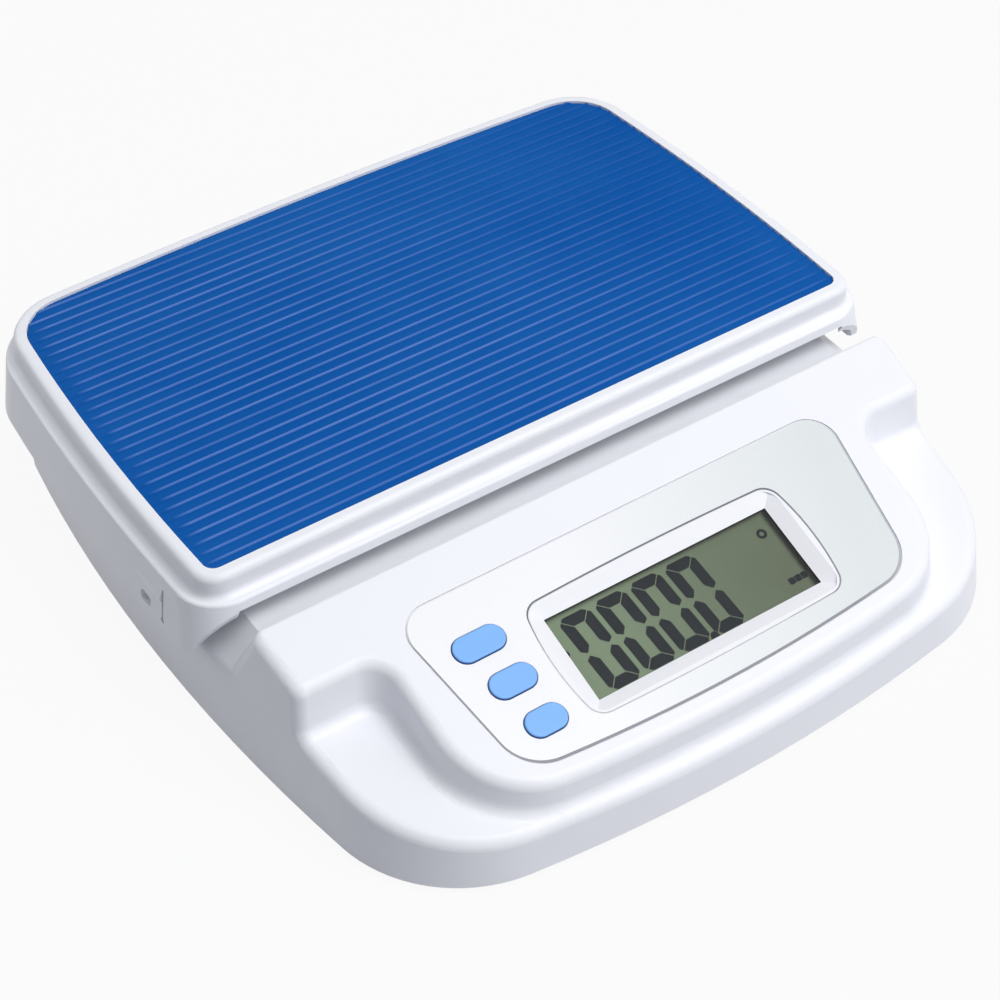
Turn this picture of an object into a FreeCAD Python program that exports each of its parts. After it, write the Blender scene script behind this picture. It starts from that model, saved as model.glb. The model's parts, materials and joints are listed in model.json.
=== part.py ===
"""Digital baby and toddler scale: moulded base with a sloping console, and a ribbed weighing platform.

Millimetres. The origin is on the ground under the middle of the scale, +Z is up, the console faces -Y
and +X is to the right of someone who reads the display.
"""

import FreeCAD, Part
import math
import os
import Sketcher
from types import SimpleNamespace

doc = FreeCAD.newDocument("BabyScale")
sheet = doc.addObject("Spreadsheet::Sheet", "Sizes")
Vector = FreeCAD.Vector
AXIS_X = Vector(1, 0, 0)
AXIS_Z = Vector(0, 0, 1)
OVERRUN = 1.0  # how far a cutting tool runs past the face it cuts


# ---------------------------------------------------------------- sizes that stay bound to the sheet

class Size:
    """A number and the sheet expression that gives it, so that arithmetic on sizes stays parametric."""

    def __init__(self, value, text):
        self.value = float(value)
        self.text = text

    def __float__(self):
        return self.value

    def __add__(self, other):
        other = as_size(other)
        return Size(self.value + other.value, f"({self.text} + {other.text})")

    def __sub__(self, other):
        other = as_size(other)
        return Size(self.value - other.value, f"({self.text} - {other.text})")

    def __mul__(self, other):
        other = as_size(other)
        return Size(self.value * other.value, f"({self.text} * {other.text})")

    def __truediv__(self, other):
        other = as_size(other)
        return Size(self.value / other.value, f"({self.text} / {other.text})")

    def __neg__(self):
        return Size(-self.value, f"(0 - {self.text})")

    def __rsub__(self, other):
        return as_size(other) - self

    __radd__ = __add__
    __rmul__ = __mul__


def as_size(number):
    return number if isinstance(number, Size) else Size(number, repr(float(number)))


def tangent(angle):
    return Size(math.tan(math.radians(float(angle))), f"tan({angle.text} * 1 deg)")


def sine(angle):
    return Size(math.sin(math.radians(float(angle))), f"sin({angle.text} * 1 deg)")


def cosine(angle):
    return Size(math.cos(math.radians(float(angle))), f"cos({angle.text} * 1 deg)")


def put(row, alias, value):
    """Write one driving dimension in the sheet and return it as a Size."""
    sheet.set(f"A{row}", alias)
    sheet.set(f"B{row}", str(value))
    sheet.setAlias(f"B{row}", alias)
    return Size(value, f"Sizes.{alias}")


def bind(item, name, size):
    item.setExpression(name, as_size(size).text)


SIZES = {
    # Heights above the ground
    "foot_drop": 2.5,
    "deck_z": 50.5,
    "ridge_z": 66.5,
    "skirt_z": 38.5,
    "shoulder_z": 64.0,
    "mat_seat_z": 71.5,
    "rim_z": 74.5,

    # Moulded walls and general clearances
    "wall": 2.8,
    "cover_thickness": 2.5,
    "cover_gap": 0.4,
    "slip_gap": 0.3,
    "screw_gap": 0.06,

    # Plan of the base at its lower edge: the four corners and the bow of each side
    "base_front_x": 137.0,
    "base_front_y": 151.1,
    "base_back_x": 146.5,
    "base_back_y": 154.6,
    "base_front_bow": 687.0,
    "base_side_bow": 824.0,
    "base_back_bow": 2400.0,
    "base_front_corner": 58.0,
    "base_back_corner": 22.0,
    "base_draft": 6.0,

    # Console: a plateau that slopes to the front, above a lower sloping shelf
    "ridge_y": -56.8,
    "console_tilt": 17.8,
    "ridge_slope": 62.0,
    "ridge_round": 1.5,
    "console_waist_x": 112.0,
    "console_front_x": 109.5,
    "console_front_y": 149.6,
    "console_front_bow": 760.0,
    "console_front_corner": 36.0,
    "console_waist_corner": 10.0,
    "console_draft": 4.0,
    "crossbar_front_y": -86.7,
    "shelf_low_z": 19.6,
    "shelf_low_y": -165.1,
    "shelf_tilt": 12.3,
    "shelf_end_y": -71.1,
    "lip_round": 5.0,
    "crease_round": 5.0,

    # Half width of the flat deck under the platform, and the slope of its sides
    "deck_half": 136.0,
    "deck_slope": 43.0,

    # Plan of the mat, and the steps outward from it
    "mat_front_x": 145.0,
    "mat_front_y": -28.5,
    "mat_back_x": 141.2,
    "mat_back_y": 145.2,
    "mat_side_bow": 1138.0,
    "mat_back_bow": 2370.0,
    "mat_front_corner": 4.5,
    "mat_back_corner": 21.5,
    "mat_sheet": 2.0,
    "rib_height": 0.6,
    "rib_width": 1.6,
    "rib_crest": 0.8,
    "rib_pitch": 5.6,
    "rim_width": 5.5,
    "shoulder_width": 4.3,
    "skirt_draft": 8.5,
    "platform_wall": 2.5,
    "rim_round": 3.0,
    "shoulder_hollow": 2.8,
    "shoulder_round": 1.3,
    "front_skirt_z": 59.8,
    "front_cut_top_y": -39.4,
    "front_cut_turn_y": -29.4,
    "front_cut_turn_z": 41.2,
    "front_cut_low_y": -24.4,
    "front_cut_round": 6.0,

    # Load cell and what stands under and over it
    "cell_length": 130.0,
    "cell_width": 30.0,
    "cell_height": 22.0,
    "cell_y": 61.0,
    "cell_bore": 7.0,
    "cell_bore_x": 12.0,
    "cell_slot": 5.0,
    "cell_screw_x": 48.0,
    "cell_screw_pitch": 16.0,
    "cell_screw_radius": 3.0,
    "cell_screw_grip": 15.0,
    "cell_head_radius": 4.8,
    "cell_head_height": 2.8,
    "cell_pad_height": 3.0,
    "plate_thickness": 3.0,
    "plate_length": 152.0,
    "plate_width": 46.0,
    "lower_spacer_height": 3.0,
    "spacer_length": 34.0,
    "spider_z": 54.0,
    "spider_plate": 5.0,
    "spider_reach": 110.0,
    "spider_arm_root": 15.0,
    "spider_arm_tip": 8.0,
    "spider_pad_radius": 10.0,
    "spider_hub_radius": 30.0,
    "pillar_height": 5.0,
    "pillar_radius": 7.0,
    "opening_gap": 3.0,
    "stop_gap": 1.2,

    # Catches for a baby tray, one each side of the skirt
    "catch_y": -1.6,
    "catch_length": 18.6,
    "catch_root_x": 155.8,
    "catch_face_x": 159.0,
    "catch_top_z": 60.0,
    "catch_edge_z": 53.9,
    "catch_low_z": 52.0,
    "catch_slot": 1.2,
    "catch_slot_z": 43.0,
    "catch_socket_y": 1.0,
    "catch_socket_z": 44.6,
    "catch_socket_length": 8.0,
    "catch_socket_height": 5.0,
    "catch_socket_depth": 1.6,

    # Small fasteners
    "screw_radius": 1.5,
    "screw_head_radius": 3.0,
    "screw_head_height": 1.8,
    "screw_length": 10.0,
    "boss_radius": 4.0,
    "counterbore": 1.2,
    "front_screw_x": 121.0,
    "front_screw_y": -125.0,
    "middle_screw_x": 139.0,
    "middle_screw_y": -23.0,
    "back_screw_x": 134.0,
    "back_screw_y": 117.0,
    "board_screw_radius": 1.1,
    "board_screw_length": 7.0,
    "board_boss_radius": 3.0,

    # Display, measured along the console from its ridge
    "panel_top_x": 99.5,
    "panel_low_x": 88.0,
    "panel_top_v": -18.6,
    "panel_low_v": -92.0,
    "panel_low_bow": 777.0,
    "panel_top_corner": 12.0,
    "panel_low_corner": 18.0,
    "panel_recess": 0.8,
    "panel_film": 0.5,
    "panel_gap": 0.35,
    "display_x": 2.7,
    "display_v": -61.7,
    "display_half_x": 56.0,
    "display_half_v": 24.6,
    "display_side_bow": 100.0,
    "display_long_bow": 1600.0,
    "display_corner": 7.0,
    "bezel_slope": 61.0,
    "window_half_x": 51.0,
    "window_half_v": 18.2,
    "window_depth": 3.4,
    "window_thickness": 0.8,
    "bezel_lip": 0.8,
    "bezel_flange": 4.0,
    "lcd_margin": 3.5,
    "lcd_thickness": 2.8,
    "zebra_height": 4.8,
    "zebra_width": 2.4,
    "board_thickness": 1.6,
    "board_left_margin": 26.0,
    "board_right_margin": 12.0,
    "board_low_margin": 2.5,
    "board_high_margin": 7.5,

    # Keys: centres, lengths along X, and how they move
    "key_height": 10.8,
    "key_rise": 0.9,
    "key_round": 0.7,
    "key_travel": 0.6,
    "key_flange": 1.2,
    "key_flange_thickness": 0.8,
    "key_stem_radius": 2.0,
    "switch_side": 6.0,
    "switch_height": 3.6,
    "zero_key_x": -75.7,
    "zero_key_v": -41.6,
    "zero_key_length": 21.3,
    "mode_key_x": -72.9,
    "mode_key_v": -59.8,
    "mode_key_length": 18.9,
    "memory_key_x": -70.9,
    "memory_key_v": -78.3,
    "memory_key_length": 16.7,

    # Battery compartment and door
    "battery_radius": 7.1,
    "battery_length": 49.5,
    "battery_tip": 1.0,
    "battery_pitch": 15.2,
    "battery_y": 2.0,
    "compartment_half_x": 31.0,
    "compartment_half_y": 29.5,
    "compartment_wall": 1.8,
    "door_thickness": 1.8,
    "door_lap": 2.0,
    "door_corner": 2.0,
    "door_play": 0.1,
    "door_pin": 0.85,
    "door_pin_length": 2.5,
    "latch_half_x": 7.0,
    "latch_length": 11.0,
    "latch_height": 2.5,
    "latch_wall": 1.2,
    "latch_slot": 1.0,
    "contact_strip": 0.4,
    "contact_width": 9.0,
    "contact_bump": 0.8,

    # Wiring inside the base
    "cable_radius": 2.0,
    "wire_radius": 0.9,
    "cable_x": -38.0,
    "wire_height": 9.0,
    "wire_x": 12.0,
    "cable_bend": 10.0,
    "connector_height": 6.0,
    "connector_length": 10.0,
    "connector_width": 7.0,
    "connector_inset": 2.0,

    # Power inlet in the back wall
    "jack_x": 90.0,
    "jack_width": 9.0,
    "jack_length": 14.0,
    "jack_height": 11.0,
    "jack_nose_radius": 4.0,
    "jack_bore_radius": 3.1,
    "jack_bore_depth": 9.0,
    "jack_pin_radius": 1.0,

    # Rubber feet
    "foot_radius": 9.0,
    "foot_recess": 1.4,
    "foot_front_x": 112.0,
    "foot_front_y": -101.0,
    "foot_back_x": 105.0,
    "foot_back_y": 122.0,
    "foot_round": 0.8,
}

dim = SimpleNamespace(**{
    alias: put(row, alias, value)
    for row, (alias, value) in enumerate(SIZES.items(), 1)
})
doc.recompute()

battery_count = 4
KEYS = {
    "zero": (dim.zero_key_x, dim.zero_key_v, dim.zero_key_length),
    "mode": (dim.mode_key_x, dim.mode_key_v, dim.mode_key_length),
    "memory": (dim.memory_key_x, dim.memory_key_v, dim.memory_key_length),
}

# Heights and depths that follow from the sizes above
cover_top = dim.foot_drop + dim.cover_thickness
plate_low = cover_top + dim.cell_pad_height
plate_top = plate_low + dim.plate_thickness
cell_low = plate_top + dim.lower_spacer_height
cell_top = cell_low + dim.cell_height
spider_top = dim.mat_seat_z - dim.platform_wall - dim.pillar_height
film_top = dim.panel_film - dim.panel_recess
window_back = -dim.window_depth - dim.window_thickness
lcd_front = window_back - 0.1
lcd_back = lcd_front - dim.lcd_thickness
board_front = lcd_back - dim.zebra_height
board_back = board_front - dim.board_thickness
compartment_height = dim.battery_radius * 2.0 + dim.slip_gap * 2.0
door_half_x = dim.compartment_half_x + dim.door_lap - dim.slip_gap
door_half_y = dim.compartment_half_y + dim.door_lap - dim.slip_gap
door_hinge_y = dim.battery_y - door_half_y + dim.door_thickness / 2.0
door_hinge_z = dim.foot_drop + dim.door_thickness / 2.0
jack_z = cover_top + dim.jack_height / 2.0
jack_edge_x = dim.jack_x + dim.jack_width / 2.0
jack_lean = tangent(dim.base_draft) * dim.jack_height
back_sag = (dim.base_back_x * dim.base_back_x - jack_edge_x * jack_edge_x) / (dim.base_back_bow * 2.0)
jack_back_y = dim.base_back_y + back_sag - dim.wall - dim.slip_gap - jack_lean * 1.3
jack_nose_length = dim.wall + dim.slip_gap + jack_lean * 0.6
skirt_flare = (dim.shoulder_z - dim.skirt_z) * tangent(dim.skirt_draft)
skirt_grow = dim.rim_width + dim.shoulder_width + skirt_flare
skirt_front_y = dim.mat_front_y - skirt_grow
board_left = dim.display_x - dim.display_half_x - dim.board_left_margin
board_right = dim.display_x + dim.display_half_x + dim.board_right_margin
board_low = dim.display_v - dim.display_half_v - dim.board_low_margin
board_high = dim.display_v + dim.display_half_v + dim.board_high_margin
connector_high = board_high - dim.connector_inset
far_side = dim.base_back_x + dim.base_side_bow / 10.0
tall = dim.rim_z + 10.0


# ---------------------------------------------------------------- sketches and bodies

def dimension(sketch, kind, *where):
    *place, size = where
    index = sketch.addConstraint(Sketcher.Constraint(kind, *place, float(size)))
    sketch.setExpression(f"Constraints[{index}]", as_size(size).text)


def new_body(name):
    body = doc.addObject("PartDesign::Body", name)
    body.Label = name
    return body


def sketch_on(body, name, role="XY_Plane", offset=0.0):
    sketch = body.newObject("Sketcher::SketchObject", name)
    plane = next(item for item in body.Origin.OriginFeatures if item.Role == role)
    sketch.AttachmentSupport = [(plane, "")]
    sketch.MapMode = "FlatFace"
    bind(sketch, "AttachmentOffset.Base.z", offset)
    return sketch


def bowed_edge(start, end, radius):
    """Arc from start to end that bulges to the right of the way it runs."""
    half = (end - start) * 0.5
    inward = Vector(-half.y, half.x, 0).normalize()
    centre = start + half + inward * math.sqrt(radius ** 2 - half.Length ** 2)
    angles = [math.atan2(point.y - centre.y, point.x - centre.x) for point in (start, end)]
    return Part.ArcOfCircle(Part.Circle(centre, AXIS_Z, radius), *angles)


def outline(sketch, corners, bows=None):
    """Closed outline, anticlockwise. Edge i leaves corner i, straight or bowed out by radius bows[i]."""
    bows = bows or [None] * len(corners)
    points = [Vector(float(x), float(y), 0) for x, y in corners]
    count = len(corners)
    for i, bow in enumerate(bows):
        start, end = points[i], points[(i + 1) % count]
        edge = Part.LineSegment(start, end) if bow is None else bowed_edge(start, end, float(bow))
        sketch.addGeometry(edge, False)
    for i, (x, y) in enumerate(corners):
        sketch.addConstraint(Sketcher.Constraint("Coincident", i, 2, (i + 1) % count, 1))
        dimension(sketch, "DistanceX", i, 1, x)
        dimension(sketch, "DistanceY", i, 1, y)
        if bows[i] is not None:
            dimension(sketch, "Radius", i, bows[i])


def circle(sketch, x, y, radius):
    index = sketch.addGeometry(Part.Circle(Vector(float(x), float(y), 0), AXIS_Z, float(radius)), False)
    dimension(sketch, "DistanceX", index, 3, x)
    dimension(sketch, "DistanceY", index, 3, y)
    dimension(sketch, "Radius", index, radius)


def pad(body, sketch, length, draft=None):
    """Pad a sketch; with a draft angle its walls lean inward on the way up."""
    feature = body.newObject("PartDesign::Pad", f"{sketch.Name}_pad")
    feature.Profile = sketch
    bind(feature, "Length", length)
    if draft is not None:
        bind(feature, "TaperAngle", -draft)
    doc.recompute()
    return feature


def meets(distance):
    """Whether two things that far apart are at the same place."""
    return abs(float(distance)) < 0.01


def middle(edge):
    return edge.valueAt((edge.FirstParameter + edge.LastParameter) / 2)


def upright_edges(shape, wanted):
    """Names of the edges that run upward and whose middle passes the test."""
    names = []
    for number, edge in enumerate(shape.Edges, 1):
        rise = abs(edge.Vertexes[-1].Z - edge.Vertexes[0].Z)
        if rise > 0.7 * edge.Length and wanted(middle(edge)):
            names.append(f"Edge{number}")
    return names


def level_edges(shape, height):
    """Names of the edges that lie at one height."""
    names = []
    for number, edge in enumerate(shape.Edges, 1):
        if all(meets(point.z - height) for point in [middle(edge)] + [end.Point for end in edge.Vertexes]):
            names.append(f"Edge{number}")
    return names


def round_edges(body, base, names, radius):
    feature = body.newObject("PartDesign::Fillet", f"{body.Name}_round")
    feature.Base = (base, names)
    bind(feature, "Radius", radius)
    doc.recompute()
    return feature


def prism(name, plan, low, height, corners=(), draft=None, top_round=None):
    """Body padded from a four-cornered plan, its front and back corners rounded by the two radii."""
    points, bows = plan
    body = new_body(name)
    sketch = sketch_on(body, f"{name}_plan", offset=low)
    outline(sketch, points, bows)
    feature = pad(body, sketch, height, draft)
    split = sum(float(y) for x, y in points) / len(points)
    for radius, is_front in zip(corners, (True, False)):
        if radius is None:
            continue
        names = upright_edges(feature.Shape, lambda point: (point.y < split) == is_front)
        feature = round_edges(body, feature, names, radius)
    if top_round is not None:
        names = level_edges(feature.Shape, float(low) + float(height))
        round_edges(body, feature, names, top_round)
    return body


def profile_bar(name, points, half_width):
    """Body of one side profile, (y, z) points, extruded to half_width each side of the middle."""
    body = new_body(name)
    sketch = sketch_on(body, f"{name}_profile", "YZ_Plane", offset=-half_width)
    outline(sketch, points)
    pad(body, sketch, half_width * 2)
    return body


# ---------------------------------------------------------------- primitives and booleans

def place(item, x, y, z):
    for axis, size in zip("xyz", (x, y, z)):
        bind(item, f"Placement.Base.{axis}", size)


def box(name, low, high):
    item = doc.addObject("Part::Box", name)
    for side, start, end in zip(("Length", "Width", "Height"), low, high):
        bind(item, side, as_size(end) - start)
    place(item, *low)
    return item


def rod(name, centre, radius, height, tilt=None):
    """Cylinder upward from its centre point, or along +Y where tilt is "y" and along +X where it is "x"."""
    item = doc.addObject("Part::Cylinder", name)
    bind(item, "Radius", radius)
    bind(item, "Height", height)
    turns = {"y": (AXIS_X, -90), "x": (Vector(0, 1, 0), 90)}
    if tilt:
        item.Placement.Rotation = FreeCAD.Rotation(*turns[tilt])
    place(item, *centre)
    return item


def fuse(name, items):
    item = doc.addObject("Part::MultiFuse", name)
    item.Shapes = items
    item.Refine = True
    return item


def common(name, items):
    item = doc.addObject("Part::MultiCommon", name)
    item.Shapes = items
    item.Refine = True
    return item


def cut(name, base, tools):
    item = doc.addObject("Part::Cut", name)
    item.Base = base
    item.Tool = tools[0] if len(tools) == 1 else fuse(f"{name}_tools", tools)
    item.Refine = True
    return item


def group(name, items):
    item = doc.addObject("Part::Compound", name)
    item.Links = items
    return item


def on_console(item):
    """Stand a piece on the console: its X stays, its Y runs up the slope to the ridge, its Z points out."""
    item.Placement.Rotation = FreeCAD.Rotation(AXIS_X, float(dim.console_tilt))
    bind(item, "Placement.Rotation.Angle", dim.console_tilt)
    place(item, 0.0, dim.ridge_y, dim.ridge_z)
    return item


def console_point(x, v, depth):
    """Where a point of the console's own frame lies on the scale."""
    turn = FreeCAD.Rotation(AXIS_X, float(dim.console_tilt))
    base = Vector(0, float(dim.ridge_y), float(dim.ridge_z))
    return base + turn.multVec(Vector(float(x), float(v), float(depth)))


nodes = {}


def node(name, item):
    """Name a finished sub-part."""
    item.Label = name
    nodes[name] = item
    return item


def screw(name, centre, head_radius, head_height, radius, length, up=True):
    """Head and shank. The head bears at the centre point, and the shank leaves it upward or down."""
    x, y, z = centre
    if up:
        head = rod(f"{name}_head", (x, y, z - head_height), head_radius, head_height)
        shank = rod(f"{name}_shank", (x, y, z), radius, length)
    else:
        head = rod(f"{name}_head", (x, y, z), head_radius, head_height)
        shank = rod(f"{name}_shank", (x, y, z - length), radius, length)
    return fuse(name, [head, shank])


# ---------------------------------------------------------------- plans that pieces share

def four_corners(front_x, front_y, back_x, back_y, grow):
    front, back = front_x + grow, back_x + grow
    low, high = front_y - grow, back_y + grow
    return [(-front, low), (front, low), (back, high), (-back, high)]


def base_plan(grow):
    corners = four_corners(dim.base_front_x, -dim.base_front_y, dim.base_back_x, dim.base_back_y, grow)
    side = dim.base_side_bow + grow
    return corners, [dim.base_front_bow + grow, side, dim.base_back_bow + grow, side]


def base_corners(grow):
    return dim.base_front_corner + grow, dim.base_back_corner + grow


def mat_plan(grow):
    corners = four_corners(dim.mat_front_x, dim.mat_front_y, dim.mat_back_x, dim.mat_back_y, grow)
    side = dim.mat_side_bow + grow
    return corners, [None, side, dim.mat_back_bow + grow, side]


def mat_corners(grow):
    return dim.mat_front_corner + grow, dim.mat_back_corner + grow


def panel_plan(grow):
    corners = four_corners(dim.panel_low_x, dim.panel_low_v, dim.panel_top_x, dim.panel_top_v, grow)
    return corners, [dim.panel_low_bow + grow, None, None, None]


def panel_corners(grow):
    return dim.panel_low_corner + grow, dim.panel_top_corner + grow


def block_plan(x, y, half_x, half_y):
    left, right, low, high = x - half_x, x + half_x, y - half_y, y + half_y
    return [(left, low), (right, low), (right, high), (left, high)], [None] * 4


def display_plan(grow):
    half_x, half_v = dim.display_half_x + grow, dim.display_half_v + grow
    corners, bows = block_plan(dim.display_x, dim.display_v, half_x, half_v)
    long_bow, side_bow = dim.display_long_bow + grow, dim.display_side_bow + grow
    return corners, [long_bow, side_bow, long_bow, side_bow]


def key_plan(key, grow):
    x, v, length = KEYS[key]
    return block_plan(x, v, length / 2.0 + grow, dim.key_height / 2.0 + grow)


def key_corners(grow):
    """Ends as round as a rectangle with filleted corners can have them."""
    radius = dim.key_height / 2.0 + grow - 0.05
    return radius, radius


def mirrored(x, y):
    """The same place on the left and on the right."""
    return [(-x, y), (x, y)]


def housing_screw_places():
    return [
        place_
        for x, y in (
            (dim.front_screw_x, dim.front_screw_y),
            (dim.middle_screw_x, dim.middle_screw_y),
            (dim.back_screw_x, dim.back_screw_y),
        )
        for place_ in mirrored(x, y)
    ]


def plate_screw_places():
    x = dim.plate_length / 2.0 - dim.boss_radius
    y = dim.plate_width / 2.0 - dim.boss_radius
    return [(side * x, dim.cell_y + end * y) for side in (-1, 1) for end in (-1, 1)]


def board_screw_places():
    return [(x, v) for x in (board_left, board_right) for v in (board_low, board_high)]


def cell_screw_places(side):
    """Two screws in line along one end of the load cell."""
    return [(side * dim.cell_screw_x + step * dim.cell_screw_pitch / 2.0, dim.cell_y) for step in (-1, 1)]


# ---------------------------------------------------------------- upper housing

def base_slab(tag, inset):
    """The drafted prism that trims every side of the base."""
    return prism(
        f"{tag}_slab",
        base_plan(-inset),
        dim.foot_drop,
        tall - dim.foot_drop,
        base_corners(-inset),
        dim.base_draft,
    )


def shelf_bar(tag, inset):
    """The sloping shelf in front, and the low part of the base under the console and the deck."""
    floor, low_top = dim.foot_drop - OVERRUN, dim.shelf_low_z + OVERRUN
    slope = tangent(dim.shelf_tilt)
    shelf_start = dim.shelf_low_z - inset / cosine(dim.shelf_tilt)
    end_y = dim.shelf_end_y - inset
    return profile_bar(
        f"{tag}_shelf",
        [
            (-far_side, floor),
            (far_side, floor),
            (far_side, low_top),
            (end_y, low_top),
            (end_y, shelf_start + (end_y - dim.shelf_low_y) * slope),
            (-far_side, shelf_start - (far_side + dim.shelf_low_y) * slope),
        ],
        far_side,
    )


def console_block(tag, inset):
    """The plateau's plan, with its two waists, and the profile that slopes its top."""
    waist, front = dim.console_waist_x - inset, dim.console_front_x - inset
    low, cross = inset - dim.console_front_y, dim.crossbar_front_y + inset
    slope = tangent(dim.console_tilt)
    back_y = dim.ridge_y - inset
    back_z = dim.ridge_z - inset / cosine(dim.console_tilt) - inset * slope
    foot_y = back_y + (back_z - dim.shelf_low_z) / tangent(dim.ridge_slope)
    behind = foot_y + OVERRUN * 2
    body = new_body(f"{tag}_plateau")
    sketch = sketch_on(body, f"{tag}_plateau_plan", offset=dim.shelf_low_z)
    corners = [
        (-front, low),
        (front, low),
        (waist, cross),
        (far_side, cross),
        (far_side, behind),
        (-far_side, behind),
        (-far_side, cross),
        (-waist, cross),
    ]
    outline(sketch, corners, [dim.console_front_bow - inset] + [None] * 7)
    feature = pad(body, sketch, tall - dim.shelf_low_z, dim.console_draft)
    turn = (float(low) + float(cross)) / 2
    names = upright_edges(feature.Shape, lambda point: point.y < turn)
    feature = round_edges(body, feature, names, dim.console_front_corner - inset)
    names = upright_edges(feature.Shape, lambda point: turn < point.y < float(foot_y)
                          and abs(point.x) < float(waist) + float(dim.console_waist_corner))
    round_edges(body, feature, names, dim.console_waist_corner + inset)
    ahead = dim.shelf_low_y - dim.wall * 3.0
    side = profile_bar(
        f"{tag}_console_side",
        [
            (ahead, dim.shelf_low_z),
            (foot_y, dim.shelf_low_z),
            (back_y, back_z),
            (ahead, back_z - (back_y - ahead) * slope),
        ],
        far_side,
    )
    return common(f"{tag}_console", [body, side]), body, side


def deck_block(tag, inset):
    """The deck behind the ridge, whose sides slope down to the walls of the base."""
    floor, deck = dim.foot_drop - OVERRUN, dim.deck_z - inset
    front_y, back_y = dim.ridge_y - dim.wall * 3.0, far_side * 1.2
    top_half = dim.deck_half - inset * tangent(dim.deck_slope / 2.0)
    low_half = top_half + (deck - floor) / tangent(dim.deck_slope)
    body = new_body(f"{tag}_deck")
    sketch = sketch_on(body, f"{tag}_deck_profile", "XZ_Plane")
    outline(sketch, [(-low_half, floor), (low_half, floor), (top_half, deck), (-top_half, deck)])
    pad(body, sketch, back_y - front_y)
    place(body, 0.0, back_y, 0.0)
    return body


def base_form(tag, inset):
    """The whole base as a solid, with every face moved inward by the inset."""
    slab = base_slab(tag, inset)
    shelf = shelf_bar(tag, inset)
    console, plateau, console_side = console_block(tag, inset)
    deck = deck_block(tag, inset)
    bulk = fuse(f"{tag}_bulk", [shelf, console, deck])
    form = common(f"{tag}_form", [slab, bulk])
    doc.recompute()
    return form, {"slab": slab, "shelf": shelf, "plateau": plateau, "console": console_side, "deck": deck}


def lies_on(point, body):
    return meets(Part.Vertex(point).distToShape(body.Shape.Shells[0])[0])


def rounded(name, form, parts, *rules):
    """Fillet the edges of a form. Each rule is a radius and a test of an edge and the parts it lies on."""
    fillet = doc.addObject("Part::Fillet", name)
    fillet.Base = form
    chosen = []
    for number, edge in enumerate(form.Shape.Edges, 1):
        point = middle(edge)
        on = {key for key, body in parts.items() if lies_on(point, body)}
        for radius, wanted in rules:
            if edge.Length > 1 and wanted(point, on):
                chosen.append((number, float(radius), float(radius)))
    fillet.Edges = chosen
    doc.recompute()
    return fillet


def is_crease(point, on):
    """Foot of the plateau's wall, where it meets the shelf."""
    return {"plateau", "shelf"} <= on and "slab" not in on


def is_lip(point, on):
    """Everything along the top of the outer wall, and the edge of the plateau."""
    lip = "slab" in on and len(on) > 1
    plateau_top = {"plateau", "console"} <= on and "slab" not in on
    return point.z > float(dim.foot_drop) + 1 and (lip or plateau_top)


def is_ridge(point, on):
    """The crisp top edge behind the console."""
    return on == {"console"} and point.z > float(dim.ridge_z) - 1


def rounded_base():
    form, parts = base_form("outer", as_size(0.0))
    creased = rounded("creased_base", form, parts, (dim.crease_round, is_crease))
    return rounded("rounded_base", creased, parts, (dim.lip_round, is_lip), (dim.ridge_round, is_ridge))


def housing_bosses():
    """Screw pillars from the bottom cover up to the shell, and the ones that hang from the console."""
    pillars = [
        rod("housing_boss", (x, y, cover_top), dim.boss_radius, tall - cover_top)
        for x, y in housing_screw_places()
    ]
    hangers = [
        rod("board_boss", (x, v, board_front), dim.board_boss_radius, tall)
        for x, v in board_screw_places()
    ]
    return pillars + [on_console(fuse("board_bosses", hangers))]


def console_openings():
    """Shallow seat for the printed panel, the display's hole, the key holes and the pilot holes."""
    seat = prism("panel_seat", panel_plan(dim.panel_gap), -dim.panel_recess,
                 as_size(OVERRUN) + dim.panel_recess, panel_corners(dim.panel_gap))
    through = dim.wall + OVERRUN * 2
    fit = dim.slip_gap / 2.0
    hole = prism("display_hole", display_plan(fit), -dim.wall - OVERRUN, through,
                 (dim.display_corner + fit, dim.display_corner + fit))
    keys = [
        prism(f"{key}_hole", key_plan(key, dim.slip_gap), -dim.wall - OVERRUN, through,
              key_corners(dim.slip_gap))
        for key in KEYS
    ]
    pilots = [
        rod("board_pilot", (x, v, board_front - OVERRUN), dim.board_screw_radius + dim.screw_gap,
            dim.board_screw_length + OVERRUN)
        for x, v in board_screw_places()
    ]
    return on_console(fuse("console_openings", [seat, hole] + keys + pilots))


def cell_opening():
    """Hole in the deck that the load cell's upper spacer comes through."""
    half_x = dim.spacer_length / 2.0 + dim.opening_gap
    half_y = dim.cell_width / 2.0 + dim.opening_gap
    return box(
        "cell_opening",
        (dim.cell_screw_x - half_x, dim.cell_y - half_y, dim.deck_z - dim.wall - OVERRUN),
        (dim.cell_screw_x + half_x, dim.cell_y + half_y, dim.deck_z + OVERRUN),
    )


def make_upper_housing():
    outer = rounded_base()
    inner, _ = base_form("inner", dim.wall)
    hollow = cut("housing_hollow", inner, housing_bosses())
    shell = cut("housing_shell", outer, [hollow])
    pilots = [
        rod("housing_pilot", (x, y, cover_top - OVERRUN), dim.screw_radius + dim.screw_gap,
            dim.screw_length + OVERRUN)
        for x, y in housing_screw_places()
    ]
    jack_hole = rod("jack_hole", (dim.jack_x, jack_back_y - OVERRUN, jack_z),
                    dim.jack_nose_radius + dim.slip_gap, dim.wall * 3.0, "y")
    tools = pilots + [console_openings(), cell_opening(), jack_hole]
    return node("upper_housing", cut("upper_housing", shell, tools))


# ---------------------------------------------------------------- bottom cover, door, feet

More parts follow.
